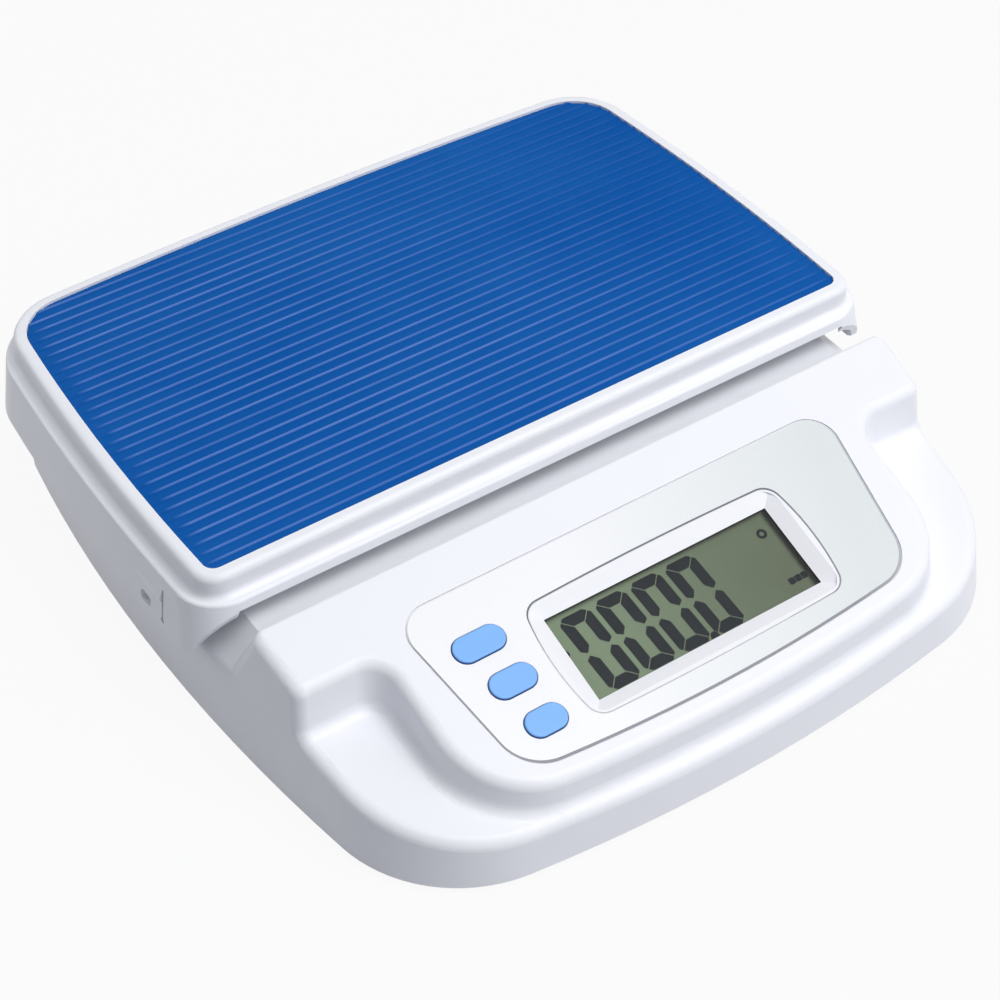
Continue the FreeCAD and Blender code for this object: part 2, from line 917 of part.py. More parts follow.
def make_bottom_cover():
    plate = common("cover_plate", [
        base_slab("cover", dim.wall + dim.cover_gap),
        box("cover_level", (-far_side, -far_side * 1.2, dim.foot_drop),
            (far_side, far_side * 1.2, cover_top)),
    ])
    cell_pad = prism("cell_pad", block_plan(as_size(0.0), dim.cell_y, dim.plate_length / 2.0 + 2.0,
                     dim.plate_width / 2.0 + 2.0), cover_top, dim.cell_pad_height,
                     (dim.boss_radius, dim.boss_radius))
    well_top = dim.foot_drop + dim.door_thickness + compartment_height + dim.compartment_wall
    well_half_x = dim.compartment_half_x + dim.compartment_wall
    well_half_y = dim.compartment_half_y + dim.compartment_wall
    well = prism("battery_well", block_plan(as_size(0.0), dim.battery_y, well_half_x, well_half_y),
                 cover_top - OVERRUN, well_top - cover_top + OVERRUN, (2.0, 2.0), as_size(1.0))
    jack_stops = [
        box("jack_stop", (dim.jack_x + side * (dim.jack_width / 2.0 + dim.slip_gap + 0.75) - 0.75,
                          jack_back_y - dim.jack_length, cover_top - 0.5),
            (dim.jack_x + side * (dim.jack_width / 2.0 + dim.slip_gap + 0.75) + 0.75,
             jack_back_y - 2.0, cover_top + dim.jack_height / 2.0))
        for side in (-1, 1)
    ]
    stop_y = jack_back_y - dim.jack_length - dim.slip_gap
    jack_stops.append(
        box("jack_back_stop", (dim.jack_x - dim.jack_width / 2.0, stop_y - 1.5, cover_top - 0.5),
            (dim.jack_x + dim.jack_width / 2.0, stop_y, cover_top + dim.jack_height / 2.0))
    )
    solid = fuse("cover_solid", [plate, cell_pad, well] + jack_stops)
    battery_room = box(
        "battery_room",
        (-dim.compartment_half_x, dim.battery_y - dim.compartment_half_y, dim.foot_drop - OVERRUN),
        (dim.compartment_half_x, dim.battery_y + dim.compartment_half_y,
         dim.foot_drop + dim.door_thickness + compartment_height),
    )
    door_seat = prism("door_seat", door_plan(dim.slip_gap), dim.foot_drop - OVERRUN,
                      dim.door_thickness + dim.door_play + OVERRUN,
                      (None, dim.door_corner + dim.slip_gap))
    latch_room = box(
        "latch_room",
        (-dim.latch_half_x - dim.slip_gap, dim.battery_y + dim.compartment_half_y - OVERRUN, dim.foot_drop),
        (dim.latch_half_x + dim.slip_gap, dim.battery_y + door_half_y + dim.slip_gap,
         dim.foot_drop + dim.door_thickness + dim.latch_height + dim.slip_gap),
    )
    pin_rooms = [
        rod("pin_room", (side * (door_half_x - OVERRUN) + min(side, 0) * (dim.door_pin_length + OVERRUN * 2),
                         door_hinge_y, door_hinge_z),
            dim.door_pin + dim.slip_gap, dim.door_pin_length + OVERRUN * 2, "x")
        for side in (-1, 1)
    ]
    holes = []
    for x, y in housing_screw_places():
        holes.append(rod("cover_hole", (x, y, dim.foot_drop - OVERRUN), dim.screw_radius + dim.slip_gap,
                         dim.cover_thickness + OVERRUN * 2))
        holes.append(rod("cover_counterbore", (x, y, dim.foot_drop - OVERRUN),
                         dim.screw_head_radius + dim.slip_gap, dim.counterbore + OVERRUN))
    for x, y in plate_screw_places():
        holes.append(rod("plate_hole", (x, y, dim.foot_drop - OVERRUN), dim.screw_radius + dim.slip_gap,
                         plate_low - dim.foot_drop + OVERRUN * 2))
        holes.append(rod("plate_counterbore", (x, y, dim.foot_drop - OVERRUN),
                         dim.screw_head_radius + dim.slip_gap, dim.screw_head_height + OVERRUN))
    for x, y in cell_screw_places(-1):
        holes.append(rod("cell_head_room", (x, y, plate_low - dim.cell_head_height - dim.slip_gap),
                         dim.cell_head_radius + dim.slip_gap, dim.cell_head_height + OVERRUN))
    for x, y in stop_places():
        holes.append(rod("stop_head_room", (x, y, plate_low - dim.screw_head_height - dim.slip_gap),
                         dim.screw_head_radius + dim.slip_gap, dim.screw_head_height + OVERRUN))
    for x, y in foot_places().values():
        holes.append(rod("foot_recess", (x, y, dim.foot_drop - OVERRUN), dim.foot_radius + dim.slip_gap / 3.0,
                         dim.foot_recess + OVERRUN))
    tools = [battery_room, door_seat, latch_room] + pin_rooms + holes
    return node("bottom_cover", cut("bottom_cover", solid, tools))


def door_plan(grow):
    return block_plan(as_size(0.0), dim.battery_y, door_half_x + grow, door_half_y + grow)


def make_battery_door():
    """Flush panel that turns on two short pins at its rounded front edge, with a springy tongue behind."""
    panel = prism("door_panel", door_plan(as_size(0.0)), dim.foot_drop, dim.door_thickness,
                  (None, dim.door_corner))
    front = [
        f"Edge{number}"
        for number, edge in enumerate(panel.Shape.Edges, 1)
        if all(meets(vertex.Y - float(dim.battery_y - door_half_y)) for vertex in edge.Vertexes)
        and edge.Length > float(door_half_x)
    ]
    round_edges(panel, panel.Tip, front, dim.door_thickness / 2.0 - 0.02)
    pins = [
        rod("door_pin", (side * (door_half_x - OVERRUN) + min(side, 0) * (dim.door_pin_length + OVERRUN),
                         door_hinge_y, door_hinge_z),
            dim.door_pin, dim.door_pin_length + OVERRUN, "x")
        for side in (-1, 1)
    ]
    latch_y = dim.battery_y + door_half_y
    hook = box("latch_hook",
               (-dim.latch_half_x, latch_y - dim.latch_wall, dim.foot_drop + dim.door_thickness * 0.5),
               (dim.latch_half_x, latch_y, dim.foot_drop + dim.door_thickness + dim.latch_height))
    slots = [
        box("latch_slot", (side * (dim.latch_half_x + dim.latch_slot / 2.0) - dim.latch_slot / 2.0,
                           latch_y - dim.latch_length, dim.foot_drop - OVERRUN),
            (side * (dim.latch_half_x + dim.latch_slot / 2.0) + dim.latch_slot / 2.0,
             latch_y + OVERRUN, dim.foot_drop + dim.door_thickness + OVERRUN))
        for side in (-1, 1)
    ]
    solid = fuse("door_solid", [panel, hook] + pins)
    return node("battery_door", cut("battery_door", solid, slots))


def foot_places():
    return {
        "front_left": (-dim.foot_front_x, dim.foot_front_y),
        "front_right": (dim.foot_front_x, dim.foot_front_y),
        "back_left": (-dim.foot_back_x, dim.foot_back_y),
        "back_right": (dim.foot_back_x, dim.foot_back_y),
    }


def make_feet():
    """Soft pads glued into round recesses, with a hollow in the middle of the tread."""
    for name, (x, y) in foot_places().items():
        body = new_body(f"foot_{name}")
        sketch = sketch_on(body, f"foot_{name}_side", "XZ_Plane")
        top, neck = dim.foot_drop + dim.foot_recess, dim.foot_radius - dim.foot_round
        hollow = dim.foot_radius * 0.45
        outline(sketch, [
            (as_size(0.0), as_size(0.6)),
            (hollow, as_size(0.6)),
            (hollow + 0.6, as_size(0.0)),
            (neck, as_size(0.0)),
            (dim.foot_radius, dim.foot_round),
            (dim.foot_radius, top),
            (as_size(0.0), top),
        ])
        turn = body.newObject("PartDesign::Revolution", f"foot_{name}_turn")
        turn.Profile = sketch
        turn.ReferenceAxis = (sketch, ["V_Axis"])
        turn.Angle = 360
        place(body, x, y, 0.0)
        node(f"foot_{name}", body)


# ---------------------------------------------------------------- load cell and its supports

def make_base_plate():
    plan = block_plan(as_size(0.0), dim.cell_y, dim.plate_length / 2.0, dim.plate_width / 2.0)
    blank = prism("plate_blank", plan, plate_low, dim.plate_thickness, (dim.boss_radius, dim.boss_radius))
    holes = [
        rod("plate_bore", (x, y, plate_low - OVERRUN), dim.screw_radius + dim.screw_gap,
            dim.plate_thickness + OVERRUN * 2)
        for x, y in plate_screw_places() + stop_places()
    ]
    holes += [
        rod("plate_cell_bore", (x, y, plate_low - OVERRUN), dim.cell_screw_radius + dim.slip_gap,
            dim.plate_thickness + OVERRUN * 2)
        for x, y in cell_screw_places(-1)
    ]
    return node("cell_base_plate", cut("cell_base_plate", blank, holes))


def make_spacer(name, side, low, high):
    centre = side * dim.cell_screw_x
    plan = block_plan(centre, dim.cell_y, dim.spacer_length / 2.0, dim.cell_width / 2.0 - 1.0)
    blank = prism(f"{name}_blank", plan, low, high - low, (2.0, 2.0))
    holes = [
        rod(f"{name}_bore", (x, y, low - OVERRUN), dim.cell_screw_radius + dim.slip_gap,
            high - low + OVERRUN * 2)
        for x, y in cell_screw_places(side)
    ]
    return node(name, cut(name, blank, holes))


def make_load_cell():
    """Aluminium beam with two bores joined by a slot, which leave a thin hinge above and below each."""
    plan = block_plan(as_size(0.0), dim.cell_y, dim.cell_length / 2.0, dim.cell_width / 2.0)
    beam = prism("cell_beam", plan, cell_low, dim.cell_height, (1.0, 1.0))
    centre_z = cell_low + dim.cell_height / 2.0
    side_y = dim.cell_y - dim.cell_width / 2.0 - OVERRUN
    bores = [
        rod("cell_bore", (side * dim.cell_bore_x, side_y, centre_z), dim.cell_bore,
            dim.cell_width + OVERRUN * 2, "y")
        for side in (-1, 1)
    ]
    slot = box("cell_slot", (-dim.cell_bore_x, side_y, centre_z - dim.cell_slot / 2.0),
               (dim.cell_bore_x, dim.cell_y + dim.cell_width / 2.0 + OVERRUN, centre_z + dim.cell_slot / 2.0))
    grip = dim.cell_screw_grip + OVERRUN * 2
    threads = [
        rod("cell_thread", (x, y, cell_low - OVERRUN), dim.cell_screw_radius + dim.screw_gap, grip)
        for x, y in cell_screw_places(-1)
    ]
    threads += [
        rod("cell_thread", (x, y, cell_top - grip + OVERRUN), dim.cell_screw_radius + dim.screw_gap, grip)
        for x, y in cell_screw_places(1)
    ]
    return node("load_cell", cut("load_cell", beam, bores + [slot] + threads))


def stop_places():
    """Overload stops, one each side of the beam's axis under its free end."""
    x = dim.cell_screw_x + dim.spacer_length / 4.0
    return [(x, dim.cell_y + side * dim.cell_width / 4.0) for side in (-1, 1)]


def make_cell_screws():
    lower = [
        screw("lower_cell_screw", (x, y, plate_low), dim.cell_head_radius, dim.cell_head_height,
              dim.cell_screw_radius, dim.plate_thickness + dim.lower_spacer_height + dim.cell_screw_grip)
        for x, y in cell_screw_places(-1)
    ]
    node("lower_cell_screws", group("lower_cell_screws", lower))
    seat_z = spider_top - dim.cell_head_height - 1.0
    upper = [
        screw("upper_cell_screw", (x, y, seat_z), dim.cell_head_radius, dim.cell_head_height,
              dim.cell_screw_radius, seat_z - cell_top + dim.cell_screw_grip, up=False)
        for x, y in cell_screw_places(1)
    ]
    node("upper_cell_screws", group("upper_cell_screws", upper))
    plate = [
        screw("plate_screw", (x, y, dim.foot_drop + dim.screw_head_height), dim.screw_head_radius,
              dim.screw_head_height, dim.screw_radius, plate_top - dim.foot_drop - dim.screw_head_height)
        for x, y in plate_screw_places()
    ]
    node("plate_screws", group("plate_screws", plate))
    stops = [
        screw("overload_stop", (x, y, plate_low), dim.screw_head_radius, dim.screw_head_height,
              dim.screw_radius, dim.plate_thickness + dim.lower_spacer_height - dim.stop_gap)
        for x, y in stop_places()
    ]
    node("overload_stops", group("overload_stops", stops))


def spider_pad_places():
    reach = dim.spider_reach * math.cos(math.pi / 4)
    return [(side * reach, dim.cell_y + end * reach) for side in (-1, 1) for end in (-1, 1)]


def make_spider():
    """Cast cross that carries the platform: a hub, four tapered arms with ribs, and a pad on each."""
    body = new_body("spider_arms")
    arm = sketch_on(body, "spider_arm", offset=spider_top - dim.spider_plate)
    root, tip, reach = dim.spider_arm_root, dim.spider_arm_tip, dim.spider_reach
    outline(arm, [(as_size(0.0), -root), (reach, -tip), (reach, tip), (as_size(0.0), root)])
    arm_pad = pad(body, arm, dim.spider_plate)
    pad_sketch = sketch_on(body, "spider_pad", offset=spider_top - dim.spider_plate)
    circle(pad_sketch, reach, as_size(0.0), dim.spider_pad_radius)
    foot_pad = pad(body, pad_sketch, dim.spider_plate)
    rib = sketch_on(body, "spider_rib", offset=dim.spider_z + 1.0)
    rib_half = dim.spider_arm_tip / 4.0
    outline(rib, [(as_size(0.0), -rib_half), (reach * 0.8, -rib_half), (reach * 0.8, rib_half),
                  (as_size(0.0), rib_half)])
    rib_pad = pad(body, rib, spider_top - dim.spider_z - 1.0)
    arms = body.newObject("PartDesign::PolarPattern", "spider_pattern")
    arms.Originals = [arm_pad, foot_pad, rib_pad]
    axis = next(item for item in body.Origin.OriginFeatures if item.Role == "Z_Axis")
    arms.Axis = (axis, [""])
    arms.Angle = 360
    arms.Occurrences = 4
    body.Tip = arms
    body.Placement.Rotation = FreeCAD.Rotation(AXIS_Z, 45)
    place(body, 0.0, dim.cell_y, 0.0)
    hub = rod("spider_hub", (as_size(0.0), dim.cell_y, spider_top - dim.spider_plate - 2.0),
              dim.spider_hub_radius, dim.spider_plate + 2.0)
    plan = block_plan(dim.cell_screw_x - 4.0, dim.cell_y, dim.spacer_length / 2.0 + 4.0, dim.cell_width / 2.0)
    block = prism("spider_block", plan, dim.spider_z, spider_top - dim.spider_z, (3.0, 3.0))
    solid = fuse("spider_solid", [body, hub, block])
    holes = []
    for x, y in cell_screw_places(1):
        holes.append(rod("spider_bore", (x, y, dim.spider_z - OVERRUN), dim.cell_screw_radius + dim.slip_gap,
                         spider_top - dim.spider_z + OVERRUN * 2))
        holes.append(rod("spider_counterbore", (x, y, spider_top - dim.cell_head_height - 1.0),
                         dim.cell_head_radius + dim.slip_gap, dim.cell_head_height + 1.0 + OVERRUN))
    for x, y in spider_pad_places():
        holes.append(rod("pad_bore", (x, y, spider_top - dim.spider_plate - OVERRUN),
                         dim.screw_radius + dim.slip_gap, dim.spider_plate + OVERRUN * 2))
    return node("support_spider", cut("support_spider", solid, holes))


# ---------------------------------------------------------------- platform

def outer_platform():
    """Upper wall under the rim, and the skirt that flares out below its shoulder."""
    upper = prism("platform_top", mat_plan(dim.rim_width), dim.shoulder_z - OVERRUN * 3,
                  dim.rim_z - dim.shoulder_z + OVERRUN * 3, mat_corners(dim.rim_width))
    skirt = prism("platform_skirt", mat_plan(skirt_grow), dim.skirt_z, dim.shoulder_z - dim.skirt_z,
                  mat_corners(skirt_grow), dim.skirt_draft)
    solid = fuse("platform_block", [upper, skirt])
    doc.recompute()
    return solid, {"upper": upper}


def inner_platform():
    room_grow = skirt_grow - dim.platform_wall
    upper_grow = dim.rim_width - dim.platform_wall
    under = dim.mat_seat_z - dim.platform_wall
    upper = prism("platform_room", mat_plan(upper_grow), dim.shoulder_z - dim.platform_wall - OVERRUN * 3,
                  under - dim.shoulder_z + dim.platform_wall + OVERRUN * 3, mat_corners(upper_grow))
    room_height = dim.shoulder_z - dim.platform_wall - dim.skirt_z
    skirt = prism("skirt_room", mat_plan(room_grow), dim.skirt_z, room_height, mat_corners(room_grow),
                  dim.skirt_draft)
    return [upper, skirt]


def rounded_platform():
    """Soft rim, and the soft step of the shoulder: its hollow first, then its edge."""
    block, parts = outer_platform()

    def at(height, is_upper):
        return lambda point, on: meets(point.z - float(height)) and ("upper" in on) == is_upper

    rim = rounded("rounded_rim", block, parts, (dim.rim_round, at(dim.rim_z, True)))
    hollow = rounded("shoulder_hollow", rim, parts, (dim.shoulder_hollow, at(dim.shoulder_z, True)))
    return rounded("rounded_platform", hollow, parts, (dim.shoulder_round, at(dim.shoulder_z, False)))


def front_skirt_cut():
    """Tools that lift the skirt's lower edge along the front and let it slope down round each corner."""
    low, half = dim.skirt_z - OVERRUN * 4, dim.mat_front_x + skirt_grow + OVERRUN
    slope = profile_bar("front_cut", [
        (skirt_front_y - OVERRUN, low),
        (dim.front_cut_low_y, low),
        (dim.front_cut_low_y, dim.skirt_z - OVERRUN),
        (dim.front_cut_turn_y, dim.front_cut_turn_z),
        (dim.front_cut_top_y, dim.front_skirt_z),
        (skirt_front_y - OVERRUN, dim.front_skirt_z),
    ], half)
    feature = slope.Tip
    names = []
    for number, edge in enumerate(feature.Shape.Edges, 1):
        point = middle(edge)
        if meets(point.y - float(dim.front_cut_turn_y)) and meets(point.z - float(dim.front_cut_turn_z)):
            names.append(f"Edge{number}")
    round_edges(slope, feature, names, dim.front_cut_round)
    straight = dim.mat_front_x - dim.mat_front_corner
    front = box("front_cut_level", (-straight, skirt_front_y - OVERRUN, low),
                (straight, skirt_front_y + skirt_flare + dim.platform_wall * 2.0, dim.front_skirt_z))
    return [slope, front]


def platform_ribs():
    """Stiffening ribs under the plate, kept above the spider."""
    low, high = spider_top + dim.slip_gap * 2.0, dim.mat_seat_z - dim.platform_wall + 0.5
    half_x = dim.mat_back_x + dim.rim_width - dim.platform_wall - 4.0
    front, back = dim.mat_front_y, dim.mat_back_y
    ribs = []
    for step in (-2, -1, 0, 1, 2):
        x = step * half_x / 2.5
        ribs.append(box("rib_along", (x - 0.8, front, low), (x + 0.8, back, high)))
    for step in (-2, -1, 0, 1, 2):
        y = dim.cell_y + step * (back - front) / 5.6
        ribs.append(box("rib_across", (-half_x, y - 0.8, low), (half_x, y + 0.8, high)))
    return ribs


def tray_catch(side):
    """Ledge with a ramped top that stands out of the sloping skirt; a baby tray's clip hooks under it."""
    body = new_body("catch_ledge")
    sketch = sketch_on(body, "catch_ledge_profile", "XZ_Plane")
    root, face = side * dim.catch_root_x, side * dim.catch_face_x
    outline(sketch, [(root, dim.catch_low_z), (face, dim.catch_low_z), (face, dim.catch_edge_z),
                     (root, dim.catch_top_z)])
    pad(body, sketch, dim.catch_length)
    place(body, 0.0, dim.catch_y + dim.catch_length / 2.0, 0.0)
    return body


def catch_cuts(side):
    """Oblong socket in the skirt under the ledge, and a relief slot in front that ends in a round hole."""
    face = side * dim.catch_face_x
    round_end = dim.catch_socket_height / 2.0
    reach = dim.catch_socket_length / 2.0 - round_end
    y, z = dim.catch_socket_y, dim.catch_socket_z
    start_x = face - dim.catch_socket_depth if side > 0 else face - OVERRUN * 2
    depth = dim.catch_socket_depth + OVERRUN * 2
    ends = [rod("socket_end", (start_x, y + end * reach, z), round_end, depth, "x") for end in (-1, 1)]
    bar = box("socket_bar", (start_x, y - reach, z - round_end), (start_x + depth, y + reach, z + round_end))
    slot_y = dim.catch_y - dim.catch_length / 2.0 - dim.catch_slot
    slot_x, half = face - side * dim.platform_wall, dim.platform_wall * 2.0
    slot = box("catch_slot", (slot_x - half, slot_y, dim.catch_slot_z),
               (slot_x + half, slot_y + dim.catch_slot, dim.catch_top_z - dim.platform_wall))
    relief = rod("catch_relief", (slot_x - half, slot_y + dim.catch_slot / 2.0, dim.catch_slot_z),
                 dim.catch_slot, half * 2.0, "x")
    return ends + [bar, slot, relief]


def make_platform_cover():
    block = rounded_platform()
    mat_room = prism("mat_room", mat_plan(dim.slip_gap), dim.mat_seat_z,
                     dim.rim_z - dim.mat_seat_z + OVERRUN, mat_corners(dim.slip_gap))
    hollow = inner_platform() + front_skirt_cut() + [mat_room]
    shell = cut("platform_shell", block, hollow)
    pillars = [
        rod("platform_pillar", (x, y, spider_top), dim.pillar_radius, dim.pillar_height + 0.5)
        for x, y in spider_pad_places()
    ]
    lugs = [tray_catch(side) for side in (-1, 1)]
    solid = fuse("platform_solid", [shell] + pillars + platform_ribs() + lugs)
    pilots = [
        rod("platform_pilot", (x, y, spider_top - OVERRUN), dim.screw_radius + dim.screw_gap,
            dim.pillar_height + OVERRUN * 2)
        for x, y in spider_pad_places()
    ]
    slots = catch_cuts(-1) + catch_cuts(1)
    return node("platform_cover", cut("platform_cover", solid, pilots + slots))


def make_mat():
    """Rubber sheet with fine ribs across its whole width, trimmed to the platform's seat."""
    ribs = new_body("mat_ribs")
    half_x = dim.mat_front_x + dim.rim_width
    front = dim.mat_front_y - dim.rib_pitch
    depth = dim.mat_back_y - dim.mat_front_y + dim.rib_pitch * 3.0
    sheet_sketch = sketch_on(ribs, "mat_sheet_side", "YZ_Plane", offset=-half_x)
    low, top = dim.mat_seat_z, dim.mat_seat_z + dim.mat_sheet
    outline(sheet_sketch, [(front, low), (front + depth, low), (front + depth, top), (front, top)])
    pad(ribs, sheet_sketch, half_x * 2.0)
    rib_sketch = sketch_on(ribs, "mat_rib_side", "YZ_Plane", offset=-half_x)
    start = dim.mat_front_y + dim.rib_pitch * 0.6
    inset = (dim.rib_width - dim.rib_crest) / 2.0
    outline(rib_sketch, [
        (start, top - dim.rib_height / 2.0),
        (start + dim.rib_width, top - dim.rib_height / 2.0),
        (start + dim.rib_width, top),
        (start + dim.rib_width - inset, top + dim.rib_height),
        (start + inset, top + dim.rib_height),
        (start, top),
    ])
    rib_pad = pad(ribs, rib_sketch, half_x * 2.0)
    count = int((float(dim.mat_back_y) + 3.0 - float(start)) / float(dim.rib_pitch)) + 1
    rows = ribs.newObject("PartDesign::LinearPattern", "mat_rows")
    rows.Originals = [rib_pad]
    axis = next(item for item in ribs.Origin.OriginFeatures if item.Role == "Y_Axis")
    rows.Direction = (axis, [""])
    bind(rows, "Length", dim.rib_pitch * (count - 1))
    rows.Occurrences = count
    ribs.Tip = rows
    blank = prism("mat_blank", mat_plan(as_size(0.0)), dim.mat_seat_z, dim.mat_sheet + dim.rib_height,
                  mat_corners(as_size(0.0)))
    return node("ribbed_mat", common("ribbed_mat", [ribs, blank]))


def make_platform_screws():
    screws = [
        screw("cover_screw", (x, y, spider_top - dim.spider_plate), dim.screw_head_radius,
              dim.screw_head_height, dim.screw_radius, dim.spider_plate + dim.pillar_height)
        for x, y in spider_pad_places()
    ]
    node("platform_screws", group("platform_screws", screws))


def make_housing_screws():
    housing = [
        screw("housing_screw", (x, y, dim.foot_drop + dim.counterbore), dim.screw_head_radius,
              dim.screw_head_height, dim.screw_radius,
              cover_top - dim.foot_drop - dim.counterbore + dim.screw_length)
        for x, y in housing_screw_places()
    ]
    node("housing_screws", group("housing_screws", housing))


# ---------------------------------------------------------------- display and keys

def console_cuts(grow, low, height):
    """Holes for the display frame and the keys, over one range of depths."""
    cuts = [prism("film_display_hole", display_plan(grow), low, height,
                  (dim.display_corner + grow, dim.display_corner + grow))]
    cuts += [
        prism(f"film_{key}_hole", key_plan(key, dim.slip_gap), low, height, key_corners(dim.slip_gap))
        for key in KEYS
    ]
    return cuts


def make_overlay():
    film = prism("film_blank", panel_plan(as_size(0.0)), -dim.panel_recess, dim.panel_film,
                 panel_corners(as_size(0.0)))
    cuts = console_cuts(dim.slip_gap / 2.0, -dim.panel_recess - OVERRUN, dim.panel_film + OVERRUN * 2)
    return node("panel_overlay", on_console(cut("panel_overlay", film, cuts)))


def window_plan():
    return block_plan(dim.display_x, dim.display_v, dim.window_half_x, dim.window_half_v)


def make_bezel():
    """Frame that drops from the panel to the window, with a flange behind that holds window and glass."""
    none = as_size(0.0)
    collar = prism("bezel_collar", display_plan(none), -dim.wall, dim.wall + film_top,
                   (dim.display_corner, dim.display_corner))
    bezel_back = lcd_back + 1.0
    flange = prism("bezel_flange", display_plan(dim.bezel_flange), bezel_back, -dim.wall - bezel_back,
                   (dim.display_corner + dim.bezel_flange, dim.display_corner + dim.bezel_flange))
    solid = fuse("bezel_solid", [collar, flange])
    slope_height = dim.window_depth + film_top + OVERRUN
    slope = prism("bezel_slope", window_plan(), -dim.window_depth, slope_height, draft=-dim.bezel_slope)
    mouth = prism("bezel_mouth", display_plan(-dim.bezel_lip), -dim.window_depth, slope_height,
                  (dim.display_corner - dim.bezel_lip, dim.display_corner - dim.bezel_lip))
    funnel = common("bezel_funnel", [slope, mouth])
    pocket = prism("bezel_pocket", lcd_plan(dim.slip_gap / 2.0), bezel_back - OVERRUN,
                   -dim.window_depth - bezel_back + OVERRUN)
    throat = prism("bezel_throat", window_plan(), -dim.window_depth - OVERRUN, as_size(OVERRUN * 1.5))
    return node("display_bezel", on_console(cut("display_bezel", solid, [funnel, pocket, throat])))


def lcd_plan(grow):
    return block_plan(dim.display_x, dim.display_v, dim.window_half_x + dim.lcd_margin + grow,
                      dim.window_half_v + dim.lcd_margin + grow)


def make_display():
    none = as_size(0.0)
    window = prism("window_sheet", lcd_plan(none), window_back, dim.window_thickness)
    node("display_window", on_console(window))
    glass = prism("lcd_glass", lcd_plan(none), lcd_back, dim.lcd_thickness)
    node("lcd_panel", on_console(glass))
    strips = []
    for side in (-1, 1):
        v = dim.display_v + side * (dim.window_half_v + dim.lcd_margin - dim.zebra_width)
        strips.append(box(
            "zebra_strip",
            (dim.display_x - dim.window_half_x, v - dim.zebra_width / 2.0, board_front),
            (dim.display_x + dim.window_half_x, v + dim.zebra_width / 2.0, lcd_back),
        ))
    node("zebra_strips", on_console(group("zebra_strips", strips)))


def make_board():
    edge = dim.board_boss_radius * 1.5
    plan = (
        [(board_left - edge, board_low - edge), (board_right + edge, board_low - edge),
         (board_right + edge, board_high + edge), (board_left - edge, board_high + edge)],
        [None] * 4,
    )
    blank = prism("board_blank", plan, board_back, dim.board_thickness, (as_size(2.0), as_size(2.0)))
    holes = [
        rod("board_hole", (x, v, board_back - OVERRUN), dim.board_screw_radius + dim.slip_gap,
            dim.board_thickness + OVERRUN * 2)
        for x, v in board_screw_places()
    ]
    node("main_board", on_console(cut("main_board", blank, holes)))
    screws = [
        screw("board_screw", (x, v, board_back), dim.board_screw_radius * 1.9, dim.board_screw_radius * 1.2,
              dim.board_screw_radius, dim.board_screw_length)
        for x, v in board_screw_places()
    ]
    node("board_screws", on_console(group("board_screws", screws)))
    chip_side, chip_height = dim.window_half_v / 2.4, dim.board_thickness * 1.2
    chip = prism("chip_blank", block_plan(dim.display_x, dim.display_v, chip_side, chip_side),
                 board_back - chip_height, chip_height, (as_size(0.8), as_size(0.8)))
    node("controller_chip", on_console(chip))
    connectors = [
        box("connector",
            (x - dim.connector_length / 2.0, connector_high - dim.connector_width,
             board_back - dim.connector_height),
            (x + dim.connector_length / 2.0, connector_high, board_back))
        for x in (dim.cable_x, dim.wire_x)
    ]
    node("lead_connectors", on_console(group("lead_connectors", connectors)))


def make_switches():
    """A short-stroke switch on the board under each key."""
    switches = []
    for x, v, length in KEYS.values():
        half, cap = dim.switch_side / 2.0, dim.key_travel
        case = box("switch_case", (x - half, v - half, board_front),
                   (x + half, v + half, board_front + dim.switch_height - cap))
        plunger = rod("switch_plunger", (x, v, board_front + dim.switch_height - cap),
                      dim.key_stem_radius * 0.8, cap)
        switches.append(fuse("key_switch", [case, plunger]))
    node("key_switches", on_console(group("key_switches", switches)))


def make_keys():
    """Each key: a domed cap, a flange that stops it under the housing's wall, and a stem to its switch."""
    none = as_size(0.0)
    flange_top = -dim.wall - dim.slip_gap
    flange_low = flange_top - dim.key_flange_thickness
    stem_low = board_front + dim.switch_height + dim.key_travel + 0.1
    for key, (x, v, length) in KEYS.items():
        cap = prism(f"{key}_cap", key_plan(key, none), flange_top - 0.1,
                    film_top + dim.key_rise - flange_top + 0.1, key_corners(none), top_round=dim.key_round)
        flange = prism(f"{key}_flange", key_plan(key, dim.key_flange), flange_low, dim.key_flange_thickness,
                       key_corners(dim.key_flange))
        stem = rod(f"{key}_stem", (x, v, stem_low), dim.key_stem_radius, flange_low - stem_low + 0.1)
        solid = fuse(f"button_{key}", [cap, flange, stem])
        node(f"button_{key}", on_console(solid))


# ---------------------------------------------------------------- power and wiring

def make_jack():
    body = box("jack_body", (dim.jack_x - dim.jack_width / 2.0, jack_back_y - dim.jack_length, cover_top),
               (dim.jack_x + dim.jack_width / 2.0, jack_back_y, cover_top + dim.jack_height))
    nose = rod("jack_nose", (dim.jack_x, jack_back_y - OVERRUN, jack_z), dim.jack_nose_radius,
               jack_nose_length + OVERRUN, "y")
    bore_y = jack_back_y + jack_nose_length - dim.jack_bore_depth
    bore = rod("jack_bore", (dim.jack_x, bore_y, jack_z), dim.jack_bore_radius,
               dim.jack_bore_depth + OVERRUN, "y")
    shell = cut("jack_shell", fuse("jack_solid", [body, nose]), [bore])
    pin = rod("jack_pin", (dim.jack_x, bore_y - OVERRUN, jack_z), dim.jack_pin_radius,
              dim.jack_bore_depth, "y")
    return node("dc_jack", fuse("dc_jack", [shell, pin]))


def battery_places():
    """Middle of each cell across the compartment, and the end that its tip points to."""
    return [((number - (battery_count - 1) / 2) * dim.battery_pitch, 1 if number % 2 else -1)
            for number in range(battery_count)]


